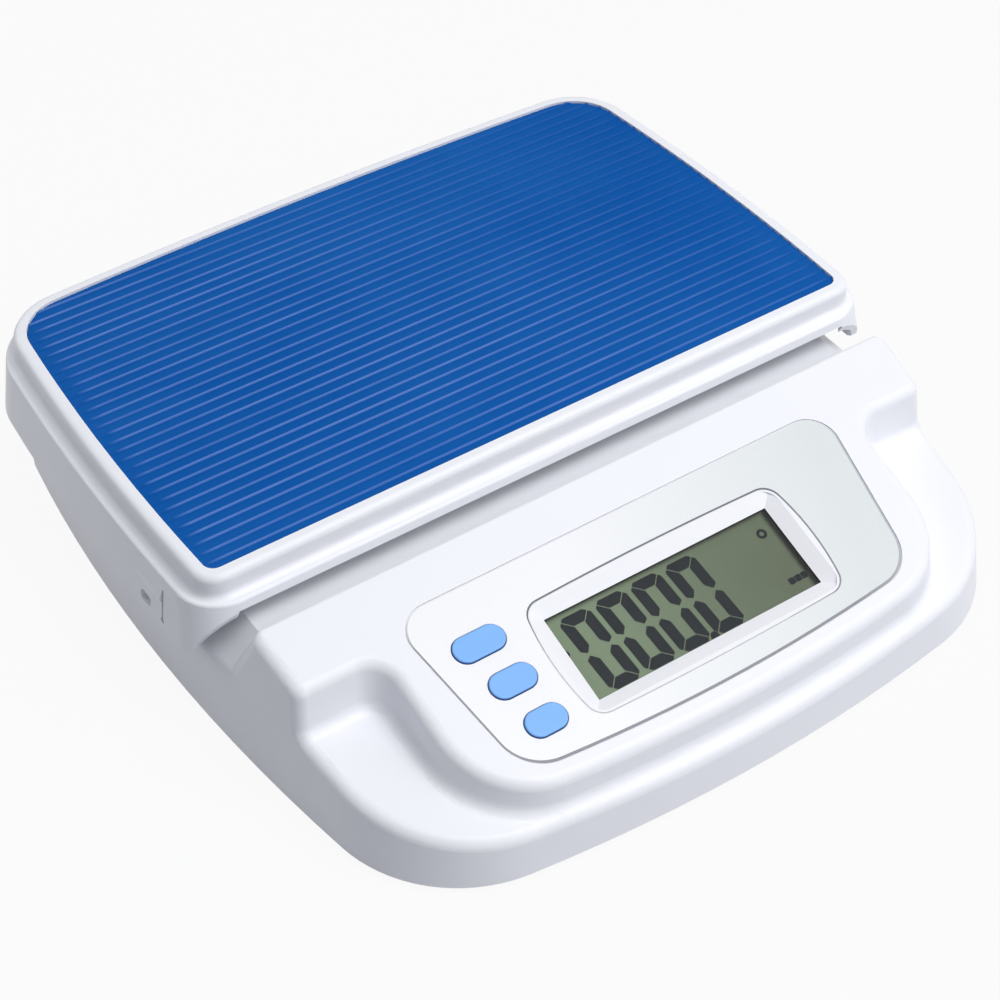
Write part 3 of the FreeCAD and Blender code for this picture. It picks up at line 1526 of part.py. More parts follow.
def make_batteries():
    z = dim.foot_drop + dim.door_thickness + dim.slip_gap + dim.battery_radius
    tip_inset = dim.contact_strip + dim.contact_bump
    for number, (x, end) in enumerate(battery_places(), 1):
        tip_y = dim.battery_y + end * (dim.compartment_half_y - tip_inset)
        flat_y = tip_y - end * (dim.battery_length + dim.battery_tip)
        can_y = flat_y if end > 0 else tip_y + dim.battery_tip
        cap_y = tip_y - dim.battery_tip if end > 0 else tip_y
        can = rod("battery_can", (x, can_y, z), dim.battery_radius, dim.battery_length, "y")
        cap = rod("battery_cap", (x, cap_y, z), dim.battery_radius * 0.38, dim.battery_tip, "y")
        node(f"battery_{number}", fuse(f"battery_{number}", [can, cap]))


def make_contacts():
    """Flat strips with a raised pad for the tips, folded leaf springs for the flat ends."""
    z = dim.foot_drop + dim.door_thickness + dim.slip_gap + dim.battery_radius
    low, high = z - dim.contact_width / 2.0, z + dim.contact_width / 2.0
    pads, leaves = [], []
    for x, end in battery_places():
        half = dim.contact_width / 2.0
        wall_y = dim.battery_y + end * dim.compartment_half_y
        strip_y = wall_y - dim.contact_strip if end > 0 else wall_y
        bump_y = strip_y - dim.contact_bump if end > 0 else strip_y + dim.contact_strip
        strip = box("contact_strip", (x - half, strip_y, low), (x + half, strip_y + dim.contact_strip, high))
        bump = rod("contact_bump", (x, bump_y, z), dim.battery_radius * 0.3, dim.contact_bump, "y")
        pads.append(fuse("contact_pad", [strip, bump]))
        far_y = dim.battery_y - end * dim.compartment_half_y
        reach = (dim.compartment_half_y * 2.0 - dim.contact_strip - dim.contact_bump - dim.battery_length
                 - dim.battery_tip)
        body = new_body("contact_leaf")
        sketch = sketch_on(body, "contact_leaf_side", "YZ_Plane", offset=x - half)
        outline(sketch, [
            (far_y, low),
            (far_y + end * dim.contact_strip, low),
            (far_y + end * dim.contact_strip, high - dim.contact_strip * 1.5),
            (far_y + end * (reach - dim.contact_strip), z - dim.contact_strip),
            (far_y + end * reach, z),
            (far_y + end * dim.contact_strip, high),
            (far_y, high),
        ])
        pad(body, sketch, dim.contact_width)
        leaves.append(body)
    node("positive_contacts", group("positive_contacts", pads))
    node("negative_contacts", group("negative_contacts", leaves))


def lead(name, x, start_y, run_z, radius):
    """Round lead: straight forward from start_y, one bend, then square up into its connector."""
    body = new_body(name)
    path = sketch_on(body, f"{name}_path", "YZ_Plane", offset=x)
    end_v, end_depth = connector_high - dim.connector_width / 2.0, board_back - dim.connector_height
    end_y = dim.ridge_y + end_v * cosine(dim.console_tilt) - end_depth * sine(dim.console_tilt)
    end_z = dim.ridge_z + end_v * sine(dim.console_tilt) + end_depth * cosine(dim.console_tilt)
    lean = math.radians(float(dim.console_tilt))
    bend = float(dim.cable_bend)
    rise = float(end_z) - float(run_z) - bend * (1 - math.sin(lean))
    turn_y = float(end_y) + rise * math.tan(lean) + bend * math.cos(lean)
    centre = Vector(turn_y, float(run_z) + bend, 0)
    leave = centre + Vector(-math.cos(lean), -math.sin(lean), 0) * bend
    path.addGeometry(Part.LineSegment(Vector(float(start_y), float(run_z), 0),
                                      Vector(turn_y, float(run_z), 0)), False)
    path.addGeometry(Part.ArcOfCircle(Part.Circle(centre, AXIS_Z, bend), lean - math.pi, -math.pi / 2), False)
    path.addGeometry(Part.LineSegment(leave, Vector(float(end_y), float(end_z), 0)), False)
    dimension(path, "DistanceX", 0, 1, start_y)
    dimension(path, "DistanceY", 0, 1, run_z)
    path.addConstraint(Sketcher.Constraint("Horizontal", 0))
    path.addConstraint(Sketcher.Constraint("Tangent", 0, 2, 1, 2))
    path.addConstraint(Sketcher.Constraint("Tangent", 1, 1, 2, 1))
    dimension(path, "Radius", 1, dim.cable_bend)
    dimension(path, "DistanceX", 2, 2, end_y)
    dimension(path, "DistanceY", 2, 2, end_z)
    ring = sketch_on(body, f"{name}_ring", "XZ_Plane", offset=-start_y)
    circle(ring, x, run_z, radius)
    pipe = body.newObject("PartDesign::AdditivePipe", f"{name}_pipe")
    pipe.Profile = ring
    pipe.Spine = (path, ["Edge1", "Edge2", "Edge3"])
    doc.recompute()
    return body


def make_leads():
    cell_side = dim.cell_y - dim.cell_width / 2.0
    node("load_cell_cable", lead("load_cell_cable", dim.cable_x, cell_side, cell_low + dim.cell_height / 2.0,
                                 dim.cable_radius))
    well_front = dim.battery_y - dim.compartment_half_y - dim.compartment_wall
    for side, name in ((-1, "battery_lead_black"), (1, "battery_lead_red")):
        node(name, lead(name, dim.wire_x + side * dim.wire_radius * 1.5, well_front,
                        cover_top + dim.wire_height, dim.wire_radius))


# ---------------------------------------------------------------- build, check and write

make_upper_housing()
make_bottom_cover()
make_battery_door()
make_feet()
make_base_plate()
make_spacer("lower_spacer", -1, plate_top, cell_low)
make_load_cell()
make_spacer("upper_spacer", 1, cell_top, dim.spider_z)
make_spider()
make_cell_screws()
make_platform_cover()
make_mat()
make_platform_screws()
make_housing_screws()
make_overlay()
make_bezel()
make_display()
make_board()
make_switches()
make_keys()
make_jack()
make_batteries()
make_contacts()
make_leads()
doc.recompute()

faulty = [item.Name for item in doc.Objects if {"Invalid", "Error"} & set(item.State)]
if faulty:
    raise RuntimeError(f"could not be built: {faulty}")

os.makedirs("parts", exist_ok=True)
for name, item in nodes.items():
    shape = item.Shape
    if shape.isNull() or not shape.isValid() or not shape.Solids:
        raise RuntimeError(f"{name} has no valid solid")
for name, item in nodes.items():
    item.Shape.exportStep(f"parts/{name}.step")
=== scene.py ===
"""Looks of the baby scale: materials, printed and moulded detail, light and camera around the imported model.

Everything is in metres, in the frame of the model: origin on the ground under the middle of the scale,
+Z up, and the console faces -Y.
"""

import json
import math

import bmesh
import bpy
from mathutils import Matrix, Vector


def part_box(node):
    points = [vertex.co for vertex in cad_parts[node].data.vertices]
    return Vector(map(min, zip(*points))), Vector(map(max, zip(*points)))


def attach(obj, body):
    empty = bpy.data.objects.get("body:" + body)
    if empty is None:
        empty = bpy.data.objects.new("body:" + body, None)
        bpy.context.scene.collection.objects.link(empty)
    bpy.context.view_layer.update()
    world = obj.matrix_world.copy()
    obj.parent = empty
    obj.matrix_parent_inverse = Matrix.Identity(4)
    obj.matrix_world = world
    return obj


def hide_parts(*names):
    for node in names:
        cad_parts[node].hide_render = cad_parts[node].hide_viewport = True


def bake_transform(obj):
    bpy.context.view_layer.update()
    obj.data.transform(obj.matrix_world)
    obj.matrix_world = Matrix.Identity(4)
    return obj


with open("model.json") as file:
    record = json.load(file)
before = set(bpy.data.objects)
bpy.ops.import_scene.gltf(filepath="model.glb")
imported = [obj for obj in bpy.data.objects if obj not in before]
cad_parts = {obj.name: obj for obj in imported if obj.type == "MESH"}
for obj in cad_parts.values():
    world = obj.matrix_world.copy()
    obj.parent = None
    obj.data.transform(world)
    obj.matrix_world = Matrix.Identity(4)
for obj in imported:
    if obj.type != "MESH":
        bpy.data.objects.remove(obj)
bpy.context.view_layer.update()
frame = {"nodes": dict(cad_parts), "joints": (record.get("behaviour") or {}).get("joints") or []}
nodes = frame["nodes"]
MM = 0.001


# ---------------------------------------------------------------- camera, light and floor

CAMERA_PLACE = (-0.349, -0.5391, 0.617)
CAMERA_RIGHT = (0.8306, -0.5566, -0.0210)
CAMERA_UP = (0.3957, 0.5631, 0.7257)
CAMERA_BACK = (-0.3917, -0.6107, 0.6882)
CAMERA_LENS = 77.46
SENSOR = 36.0

LIGHT_AIM = (0, 0, 0.03)
LIGHTS = (
    # name, place, size, watts
    ("overhead_light", (0.2, -0.45, 1.6), (0.9, 0.9), 9.0),
    ("key_light", (0.6, -0.75, 1.5), (0.7, 0.7), 8.0),
    ("front_light", (0.3, -1.3, 1.0), (0.9, 0.9), 4.5),
    ("side_light", (0.9, -0.9, 1.0), (0.9, 0.9), 3.0),
    ("back_light", (-0.6, 1.2, 0.7), (1.2, 0.6), 4.0),
)

STUDIO_TINT = (0.88, 0.91, 1.0, 1)
STUDIO_STRENGTH = 0.26
WHITE = (1, 1, 1, 1)

FLOOR_HALF = 6.0
FLOOR_COLOUR = (0.50, 0.505, 0.54, 1)
FLOOR_GLOW_NEAR = 0.93
FLOOR_FADE_START, FLOOR_FADE_END = 0.5, 1.6


def add_camera():
    data = bpy.data.cameras.new("camera")
    data.lens = CAMERA_LENS
    data.sensor_width = SENSOR
    camera = bpy.data.objects.new("camera", data)
    turn = Matrix((CAMERA_RIGHT, CAMERA_UP, CAMERA_BACK)).transposed()
    camera.matrix_world = Matrix.Translation(CAMERA_PLACE) @ turn.to_4x4()
    bpy.context.scene.collection.objects.link(camera)
    bpy.context.scene.camera = camera


def add_lights():
    for name, place, size, watts in LIGHTS:
        data = bpy.data.lights.new(name, "AREA")
        data.shape = "RECTANGLE"
        data.size, data.size_y = size
        data.energy = watts
        lamp = bpy.data.objects.new(name, data)
        lamp.location = place
        lamp.rotation_euler = (Vector(LIGHT_AIM) - Vector(place)).to_track_quat("-Z", "Y").to_euler()
        bpy.context.scene.collection.objects.link(lamp)


def feed(tree, socket, value):
    """Join another node's socket to this one, or set this one's own value."""
    if isinstance(value, bpy.types.NodeSocket):
        tree.links.new(value, socket)
    else:
        socket.default_value = value


def map_range(item, low, high, start, end):
    """Set a Map Range node to take start..end to low..high."""
    for socket, number in (("From Min", start), ("From Max", end), ("To Min", low), ("To Max", high)):
        item.inputs[socket].default_value = number
    return item.outputs[0]


def floor_share(tree):
    """Share of glow that rises to one far from the object, so that the floor meets the white beyond it."""
    place = tree.nodes.new("ShaderNodeTexCoord")
    distance = tree.nodes.new("ShaderNodeVectorMath")
    distance.operation = "LENGTH"
    tree.links.new(place.outputs["Object"], distance.inputs[0])
    item = tree.nodes.new("ShaderNodeMapRange")
    tree.links.new(distance.outputs["Value"], item.inputs["Value"])
    return map_range(item, FLOOR_GLOW_NEAR, 1.0, FLOOR_FADE_START, FLOOR_FADE_END)


def seen_share(tree, share):
    """Factor that is the share for camera, glossy and transmission rays, and zero for all others."""
    path = tree.nodes.new("ShaderNodeLightPath")
    value = path.outputs["Is Camera Ray"]
    for kind in ("Is Glossy Ray", "Is Transmission Ray"):
        either = tree.nodes.new("ShaderNodeMath")
        either.operation = "MAXIMUM"
        tree.links.new(value, either.inputs[0])
        tree.links.new(path.outputs[kind], either.inputs[1])
        value = either.outputs[0]
    scaled = tree.nodes.new("ShaderNodeMath")
    scaled.operation = "MULTIPLY"
    tree.links.new(value, scaled.inputs[0])
    feed(tree, scaled.inputs[1], share)
    return scaled.outputs[0]


def lit(tree, kind, colour, strength=1.0):
    """Background or Emission node of one colour."""
    item = tree.nodes.new(f"ShaderNode{kind}")
    item.inputs["Color"].default_value = colour
    item.inputs["Strength"].default_value = strength
    return item


def mixed_output(tree, kind, factor, plain, seen):
    """Output that shows the seen shader by the factor, and the plain one otherwise."""
    output = tree.nodes.new(f"ShaderNodeOutput{kind}")
    mix = tree.nodes.new("ShaderNodeMixShader")
    tree.links.new(factor, mix.inputs["Fac"])
    tree.links.new(plain.outputs[0], mix.inputs[1])
    tree.links.new(seen.outputs[0], mix.inputs[2])
    tree.links.new(mix.outputs[0], output.inputs["Surface"])


def add_world():
    world = bpy.data.worlds.new("studio")
    world.use_nodes = True
    tree = world.node_tree
    tree.nodes.clear()
    studio = lit(tree, "Background", STUDIO_TINT, STUDIO_STRENGTH)
    white = lit(tree, "Background", WHITE)
    mixed_output(tree, "World", seen_share(tree, 1.0), studio, white)
    bpy.context.scene.world = world


def add_floor():
    mesh = bpy.data.meshes.new("floor")
    corners = [(x * FLOOR_HALF, y * FLOOR_HALF, 0) for x, y in ((-1, -1), (1, -1), (1, 1), (-1, 1))]
    mesh.from_pydata(corners, [], [(0, 1, 2, 3)])
    floor = bpy.data.objects.new("floor", mesh)
    bpy.context.scene.collection.objects.link(floor)
    paint = bpy.data.materials.new("floor_paint")
    paint.use_nodes = True
    tree = paint.node_tree
    tree.nodes.clear()
    matt = tree.nodes.new("ShaderNodeBsdfDiffuse")
    matt.inputs["Color"].default_value = FLOOR_COLOUR
    glow = lit(tree, "Emission", WHITE)
    mixed_output(tree, "Material", seen_share(tree, floor_share(tree)), matt, glow)
    mesh.materials.append(paint)


# ---------------------------------------------------------------- console frame

RIDGE = Vector((0.0, -56.8 * MM, 66.5 * MM))
KEY_AXIS = next(joint for joint in frame["joints"] if joint["name"] == "zero_key_press")["axis"]
CONSOLE_OUT = -Vector(KEY_AXIS)
CONSOLE_UP = CONSOLE_OUT.cross(Vector((1, 0, 0)))


def console_frame():
    """Matrix of the console's own frame: X as it is, Y up the slope from the ridge, Z out of the surface."""
    turn = Matrix(((1, 0, 0), CONSOLE_UP, CONSOLE_OUT)).transposed().to_4x4()
    return Matrix.Translation(RIDGE) @ turn


# ---------------------------------------------------------------- materials

NOISE_ROUGHNESS = 0.55
MOULDED_GRAIN_DEPTH = 0.04 * MM
MIX_FACTOR, MIX_FIRST, MIX_SECOND, MIX_RESULT = 0, 6, 7, 2   # the colour sockets of a Mix node


class Paint:
    """A Principled material with small helpers for the nodes that feed it."""

    def __init__(self, name, colour, roughness, metallic=0.0, **values):
        self.material = bpy.data.materials.new(name)
        self.material.use_nodes = True
        self.tree = self.material.node_tree
        self.shader = self.tree.nodes["Principled BSDF"]
        self.shader.inputs["Base Color"].default_value = (*colour, 1)
        self.shader.inputs["Roughness"].default_value = roughness
        self.shader.inputs["Metallic"].default_value = metallic
        for socket, value in values.items():
            self.shader.inputs[socket.replace("_", " ")].default_value = value
        self.place = self.add("TexCoord").outputs["Object"]

    def add(self, kind, **inputs):
        item = self.tree.nodes.new(f"ShaderNode{kind}")
        for socket, value in inputs.items():
            self.feed(item.inputs[socket.replace("_", " ")], value)
        return item

    def feed(self, socket, value):
        feed(self.tree, socket, value)

    def noise(self, scale, detail=3.0, stretch=(1, 1, 1)):
        mapping = self.add("Mapping", Vector=self.place, Scale=stretch)
        texture = self.add("TexNoise", Vector=mapping.outputs[0], Scale=scale, Detail=detail)
        texture.inputs["Roughness"].default_value = NOISE_ROUGHNESS
        return texture.outputs["Fac"]

    def between(self, value, low, high, start=0.0, end=1.0):
        """Map value from start..end to low..high."""
        return map_range(self.add("MapRange", Value=value), low, high, start, end)

    def blend(self, factor, first, second):
        item = self.add("Mix")
        item.data_type = "RGBA"
        self.feed(item.inputs[MIX_FACTOR], factor)
        for number, value in ((MIX_FIRST, first), (MIX_SECOND, second)):
            self.feed(item.inputs[number], value if isinstance(value, bpy.types.NodeSocket) else (*value, 1))
        return item.outputs[MIX_RESULT]

    def axis(self, letter):
        item = self.add("SeparateXYZ", Vector=self.place)
        return item.outputs["XYZ".index(letter)]

    def along(self, direction):
        """Distance from the console's ridge along a direction."""
        item = self.add("VectorMath")
        item.operation = "DOT_PRODUCT"
        self.feed(item.inputs[0], self.place)
        item.inputs[1].default_value = direction
        return self.sum(item.outputs["Value"], -RIDGE.dot(direction))

    def math(self, operation, *values):
        item = self.add("Math")
        item.operation = operation
        for i, value in enumerate(values):
            self.feed(item.inputs[i], value)
        return item.outputs[0]

    def sum(self, first, second):
        return self.math("ADD", first, second)

    def product(self, first, second):
        return self.math("MULTIPLY", first, second)

    def colour(self, value):
        self.feed(self.shader.inputs["Base Color"], value)

    def rough(self, value):
        self.feed(self.shader.inputs["Roughness"], value)

    def bump(self, *layers):
        """Each layer is a height, its strength and its depth in metres."""
        normal = None
        for height, strength, depth in layers:
            item = self.add("Bump", Height=height, Strength=strength, Distance=depth)
            if normal is not None:
                self.tree.links.new(normal, item.inputs["Normal"])
            normal = item.outputs[0]
        self.tree.links.new(normal, self.shader.inputs["Normal"])


def moulded_plastic(name, colour, shade, roughness=0.34, grain=2600.0):
    """Faint mottling, fine eroded grain and slightly uneven gloss."""
    paint = Paint(name, colour, roughness, Specular_IOR_Level=0.3)
    paint.colour(paint.blend(paint.noise(38.0, 4.0), colour, shade))
    paint.rough(paint.between(paint.noise(30.0, 1.0), roughness - 0.03, roughness + 0.03, 0.2, 0.8))
    paint.bump((paint.noise(grain, 2.0), 0.1, MOULDED_GRAIN_DEPTH))
    return paint.material


def brushed_metal(name, colour, roughness=0.32, stretch=(1, 1, 1)):
    paint = Paint(name, colour, roughness, metallic=1.0)
    fine = paint.noise(900.0, 3.0, stretch)
    paint.colour(paint.blend(fine, colour, [part * 0.86 for part in colour]))
    paint.rough(paint.between(fine, roughness - 0.08, roughness + 0.12, 0.3, 0.7))
    paint.bump((fine, 0.15, 0.03 * MM))
    return paint.material


def rubber(name, colour, roughness=0.7):
    paint = Paint(name, colour, roughness)
    coarse = paint.noise(260.0, 4.0)
    paint.colour(paint.blend(coarse, colour, [part * 1.35 + 0.01 for part in colour]))
    paint.bump((paint.noise(1500.0, 3.0), 0.25, 0.06 * MM))
    return paint.material


def mat_material():
    """Blue sheet with a painted highlight along its rib crests, fading towards its right and its far edge, and none
    near its rims.
    """
    deep, highlight_colour, spent = (0.003, 0.088, 0.36), (0.105, 0.215, 0.57), (0.008, 0.108, 0.395)
    paint = Paint("mat_blue", deep, 0.5, Specular_IOR_Level=0.04)
    low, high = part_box("ribbed_mat")
    middle = (low.y + high.y) / 2
    x, y = paint.axis("X"), paint.axis("Y")
    half = paint.between(y, -low.x, -low.x - 4.5 * MM, middle, high.y)
    wavy = paint.between(paint.noise(110.0, 3.0, (0.3, 1, 1)), -2.5 * MM, 2.5 * MM, 0.25, 0.75)
    side = paint.sum(paint.math("SUBTRACT", half, paint.math("ABSOLUTE", x)), wavy)
    inside = paint.between(side, 0.0, 1.0, 3.0 * MM, 9.0 * MM)
    far = paint.sum(x, paint.product(y, 0.7))
    # painted highlight: the crest highlight fades towards the right and the far edge
    highlight_fade = paint.between(far, 1.0, 0.12, 10 * MM, 165 * MM)
    streak = paint.between(paint.noise(36.0, 4.0, (0.25, 6.0, 1)), 0.45, 1.0, 0.3, 0.62)
    height = paint.between(paint.axis("Z"), 0.0, 1.0, high.z - 0.5 * MM, high.z - 0.05 * MM)
    # painted highlight on the rib tops, broken by streaks and kept off the rims
    crest_highlight = paint.product(paint.product(height, streak), paint.product(inside, highlight_fade))
    ground = paint.blend(paint.between(paint.noise(11.0, 3.0), 0.0, 1.0, 0.3, 0.7), deep, spent)
    paint.colour(paint.blend(crest_highlight, ground, highlight_colour))
    paint.rough(paint.between(paint.noise(120.0, 3.0), 0.42, 0.56, 0.3, 0.7))
    paint.bump((paint.noise(1900.0, 3.0), 0.15, 0.04 * MM))
    return paint.material


def film_material():
    """Printed film: white at its left and silver grey towards its right and its lower edge."""
    white, silver = (0.88, 0.885, 0.90), (0.70, 0.735, 0.735)
    paint = Paint("film_print", white, 0.3, Specular_IOR_Level=0.4)
    run = paint.sum(paint.axis("X"), paint.product(paint.along(CONSOLE_UP), -0.3))
    paint.colour(paint.blend(paint.between(run, 0.0, 1.0, -25 * MM, 97 * MM), white, silver))
    paint.rough(paint.between(paint.noise(1400.0, 2.0), 0.26, 0.36, 0.3, 0.7))
    paint.bump((paint.noise(2400.0, 2.0), 0.06, 0.02 * MM))
    return paint.material


def lcd_material():
    """Reflective olive of an unlit liquid crystal glass, darker to its right, with a painted shadow under its top
    and right edges.
    """
    pale, dark, black = (0.29, 0.375, 0.245), (0.185, 0.22, 0.15), (0.035, 0.037, 0.035)
    paint = Paint("lcd_green", pale, 0.4, Specular_IOR_Level=0.05)
    x, v = paint.axis("X"), paint.along(CONSOLE_UP)
    cloudy = paint.between(paint.noise(30.0, 3.0), -0.12, 0.12, 0.3, 0.7)
    across = paint.sum(paint.between(x, 0.0, 1.0, -30 * MM, 45 * MM), cloudy)
    # painted shadow under the top and right edges of the opening, darkening the glass towards black
    under_top = paint.between(v, 0.0, 1.0, -46.5 * MM, -43.6 * MM)
    by_right = paint.between(x, 0.0, 1.0, 50.2 * MM, 52.2 * MM)
    shade = paint.math("MAXIMUM", paint.math("POWER", under_top, 2.5), by_right)
    paint.colour(paint.blend(shade, paint.blend(across, pale, dark), black))
    paint.rough(paint.between(paint.noise(400.0, 2.0), 0.36, 0.44, 0.3, 0.7))
    paint.bump((paint.noise(3200.0, 2.0), 0.05, 0.02 * MM))
    return paint.material


def shadow_line_material(name, near, beyond, far_start, far_end, right_start, right_end, at_right):
    """Painted shadow line along a gap: it goes from one grey to another up the slope, and to a third towards its
    right.
    """
    paint = Paint(name, near, 0.4, Specular_IOR_Level=0.2)
    far = paint.between(paint.along(CONSOLE_UP), 0.0, 1.0, far_start, far_end)
    right = paint.between(paint.axis("X"), 0.0, 1.0, right_start, right_end)
    grain = paint.noise(700.0, 2.0)
    ground = paint.blend(grain, near, [part * 1.15 for part in near])
    paint.colour(paint.blend(far, paint.blend(right, ground, at_right), beyond))
    paint.rough(paint.between(grain, 0.35, 0.45, 0.3, 0.7))
    return paint.material


def segment_material():
    """Dark switched segments, a touch bluer than the glass round them."""
    paint = Paint("lcd_segment", (0.03, 0.034, 0.042), 0.4, Specular_IOR_Level=0.05)
    paint.colour(paint.blend(paint.noise(180.0, 3.0), (0.026, 0.03, 0.038), (0.04, 0.045, 0.05)))
    return paint.material


def key_material():
    """Sky blue caps, with painted shade round their foot."""
    sky, shade, deep = (0.215, 0.475, 0.92), (0.195, 0.445, 0.89), (0.03, 0.11, 0.38)
    paint = Paint("key_plastic", sky, 0.38, Specular_IOR_Level=0.35)
    height = paint.along(CONSOLE_OUT)
    # painted shade in the gap round each cap's foot
    foot = paint.between(height, 1.0, 0.0, 0.12 * MM, 0.52 * MM)
    paint.colour(paint.blend(foot, paint.blend(paint.noise(60.0, 3.0), sky, shade), deep))
    paint.rough(paint.between(paint.noise(200.0, 3.0), 0.33, 0.43, 0.3, 0.7))
    paint.bump((paint.noise(2200.0, 2.0), 0.1, 0.03 * MM))
    return paint.material


def clear_material():
    """Clear sheet, so thin that light goes straight through it."""
    paint = Paint("window_clear", (0.05, 0.055, 0.05), 0.06, Alpha=0.1)
    paint.rough(paint.between(paint.noise(60.0, 2.0), 0.04, 0.09, 0.3, 0.7))
    return paint.material


def make_materials():
    white, shade = (0.865, 0.873, 0.915), (0.85, 0.858, 0.903)
    return {
        "housing": moulded_plastic("housing_white", white, shade),
        "platform": moulded_plastic("platform_white", white, shade, 0.36),
        "cover": moulded_plastic("cover_grey", (0.72, 0.73, 0.75), (0.68, 0.69, 0.71), 0.45, 1500.0),
        "mat": mat_material(),
        "film": film_material(),
        "bezel": moulded_plastic("bezel_white", (0.86, 0.865, 0.90), (0.845, 0.85, 0.885), 0.25),
        "lcd": lcd_material(),
        "window": clear_material(),
        "key": key_material(),
        "segment": segment_material(),
        # painted shadow lines of the gaps round the film and the bezel
        "panel_shadow_line": shadow_line_material(
            "panel_painted_shadow", (0.27, 0.27, 0.30), (0.78, 0.78, 0.80), -34 * MM, -20 * MM,
            60 * MM, 92 * MM, (0.46, 0.47, 0.50),
        ),
        "bezel_shadow_line": shadow_line_material(
            "bezel_painted_shadow", (0.60, 0.60, 0.63), (0.16, 0.175, 0.20), -60 * MM, -40 * MM,
            30 * MM, 62 * MM, (0.24, 0.25, 0.28),
        ),
        "rubber": rubber("foot_rubber", (0.035, 0.036, 0.038)),
        "black": moulded_plastic("inlet_black", (0.02, 0.021, 0.023), (0.03, 0.031, 0.033), 0.5),
        "aluminium": brushed_metal("cell_aluminium", (0.78, 0.79, 0.80), 0.34, (0.1, 1, 1)),
        "steel": brushed_metal("plate_steel", (0.62, 0.62, 0.63), 0.4, (0.2, 1, 1)),
        "zinc": brushed_metal("screw_zinc", (0.70, 0.70, 0.71), 0.28),
        "nickel": brushed_metal("contact_nickel", (0.78, 0.77, 0.74), 0.22),
        "cast": rubber("spider_cast", (0.36, 0.37, 0.38), 0.5),
        "board": rubber("board_green", (0.015, 0.14, 0.05), 0.35),
        "cream": moulded_plastic("connector_cream", (0.78, 0.75, 0.65), (0.74, 0.7, 0.6), 0.4),
        "cell_label": moulded_plastic("battery_sleeve", (0.03, 0.10, 0.22), (0.02, 0.08, 0.2), 0.3),
        "zebra": rubber("zebra_rubber", (0.5, 0.45, 0.5)),
        "black_wire": rubber("black_wire", (0.012, 0.012, 0.013), 0.45),
        "red_wire": rubber("red_wire", (0.42, 0.014, 0.012), 0.45),
        "grey_cable": rubber("grey_cable", (0.16, 0.165, 0.17), 0.5),
    }


MATERIAL_NODES = {
    "housing": "upper_housing",
    "cover": "bottom_cover battery_door",
    "rubber": "foot_front_left foot_front_right foot_back_left foot_back_right",
    "steel": "cell_base_plate",
    "aluminium": "lower_spacer load_cell upper_spacer",
    "cast": "support_spider",
    "zinc": (
        "lower_cell_screws upper_cell_screws plate_screws overload_stops platform_screws "
        "housing_screws board_screws"
    ),
    "platform": "platform_cover",
    "mat": "ribbed_mat",
    "film": "panel_overlay",
    "bezel": "display_bezel",
    "window": "display_window",
    "lcd": "lcd_panel",
    "zebra": "zebra_strips",
    "board": "main_board",
    "black": "controller_chip key_switches dc_jack",
    "cream": "lead_connectors",
    "key": "button_zero button_mode button_memory",
    "cell_label": "battery_1 battery_2 battery_3 battery_4",
    "nickel": "positive_contacts negative_contacts",
    "grey_cable": "load_cell_cable",
    "black_wire": "battery_lead_black",
    "red_wire": "battery_lead_red",
}


def dress_nodes(materials):
    for material, names in MATERIAL_NODES.items():
        for name in names.split():
            for slot in nodes[name].material_slots:
                slot.material = materials[material]


# ---------------------------------------------------------------- load cell

BEND_HALF = 30 * MM
BEND_CUTS = 12
WELD = 0.001 * MM
SHARP_ANGLE = math.radians(30)


def add_bending_beam():
    """A copy of the load cell, welded, cut into slices across its middle span, smooth shaded and shown in place of
    the load cell.
    """
    mesh = nodes["load_cell"].data.copy()
    beam = bpy.data.objects.new("load_cell_beam", mesh)
    bpy.context.scene.collection.objects.link(beam)
    bm = bmesh.new()
    bm.from_mesh(mesh)
    bmesh.ops.remove_doubles(bm, verts=bm.verts, dist=WELD)
    for step in range(BEND_CUTS + 1):
        place = -BEND_HALF + 2 * BEND_HALF * step / BEND_CUTS
        geometry = bm.verts[:] + bm.edges[:] + bm.faces[:]
        bmesh.ops.bisect_plane(bm, geom=geometry, plane_co=(place, 0, 0), plane_no=(1, 0, 0))
    bm.to_mesh(mesh)
    bm.free()
    mesh.shade_smooth()
    mesh.set_sharp_from_angle(angle=SHARP_ANGLE)
    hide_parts("load_cell")
    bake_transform(beam)


# ---------------------------------------------------------------- display

LCD_FRONT = -4.3 * MM
FILM_FRONT = -0.3 * MM
INK = 0.03 * MM
DIGIT_COUNT = 4
DIGIT_WIDTH, DIGIT_HEIGHT = 13.8 * MM, 33.5 * MM
DIGIT_PITCH = 15.9 * MM
DIGIT_LEFT, DIGIT_LOW = -41.9 * MM, -79.4 * MM
DIGIT_LEAN = -0.072
STROKE = 4.6 * MM
CORNER_CUT = 2.5 * MM
SEGMENT_GAP = 0.45 * MM
TIP = 0.55 * MM
TIP_OUTER, TIP_INNER = 1.5 * MM, 2.6 * MM
TIP_SHARE = 0.48
POINT_X, POINT_HALF, POINT_HEIGHT = 4.8 * MM, 2.0 * MM, 2.5 * MM

RING_PLACE = (46.4 * MM, -51.9 * MM)
RING_OUTER, RING_INNER = 2.15 * MM, 0.95 * MM
RING_COUNT = 40
BAR_COUNT = 3
BAR_LEFT, BAR_LOW, BAR_PITCH = 43.2 * MM, -75.3 * MM, 2.9 * MM
BAR_WIDTH, BAR_HEIGHT, BAR_CUT = 2.75 * MM, 2.8 * MM, 0.4 * MM
TICK_X, TICK_V = -48.0 * MM, -58.9 * MM
TICK_WIDTH, TICK_HALF, TICK_TIP = 0.9 * MM, 1.6 * MM, 0.6 * MM
SAME_LEVEL = 0.02 * MM


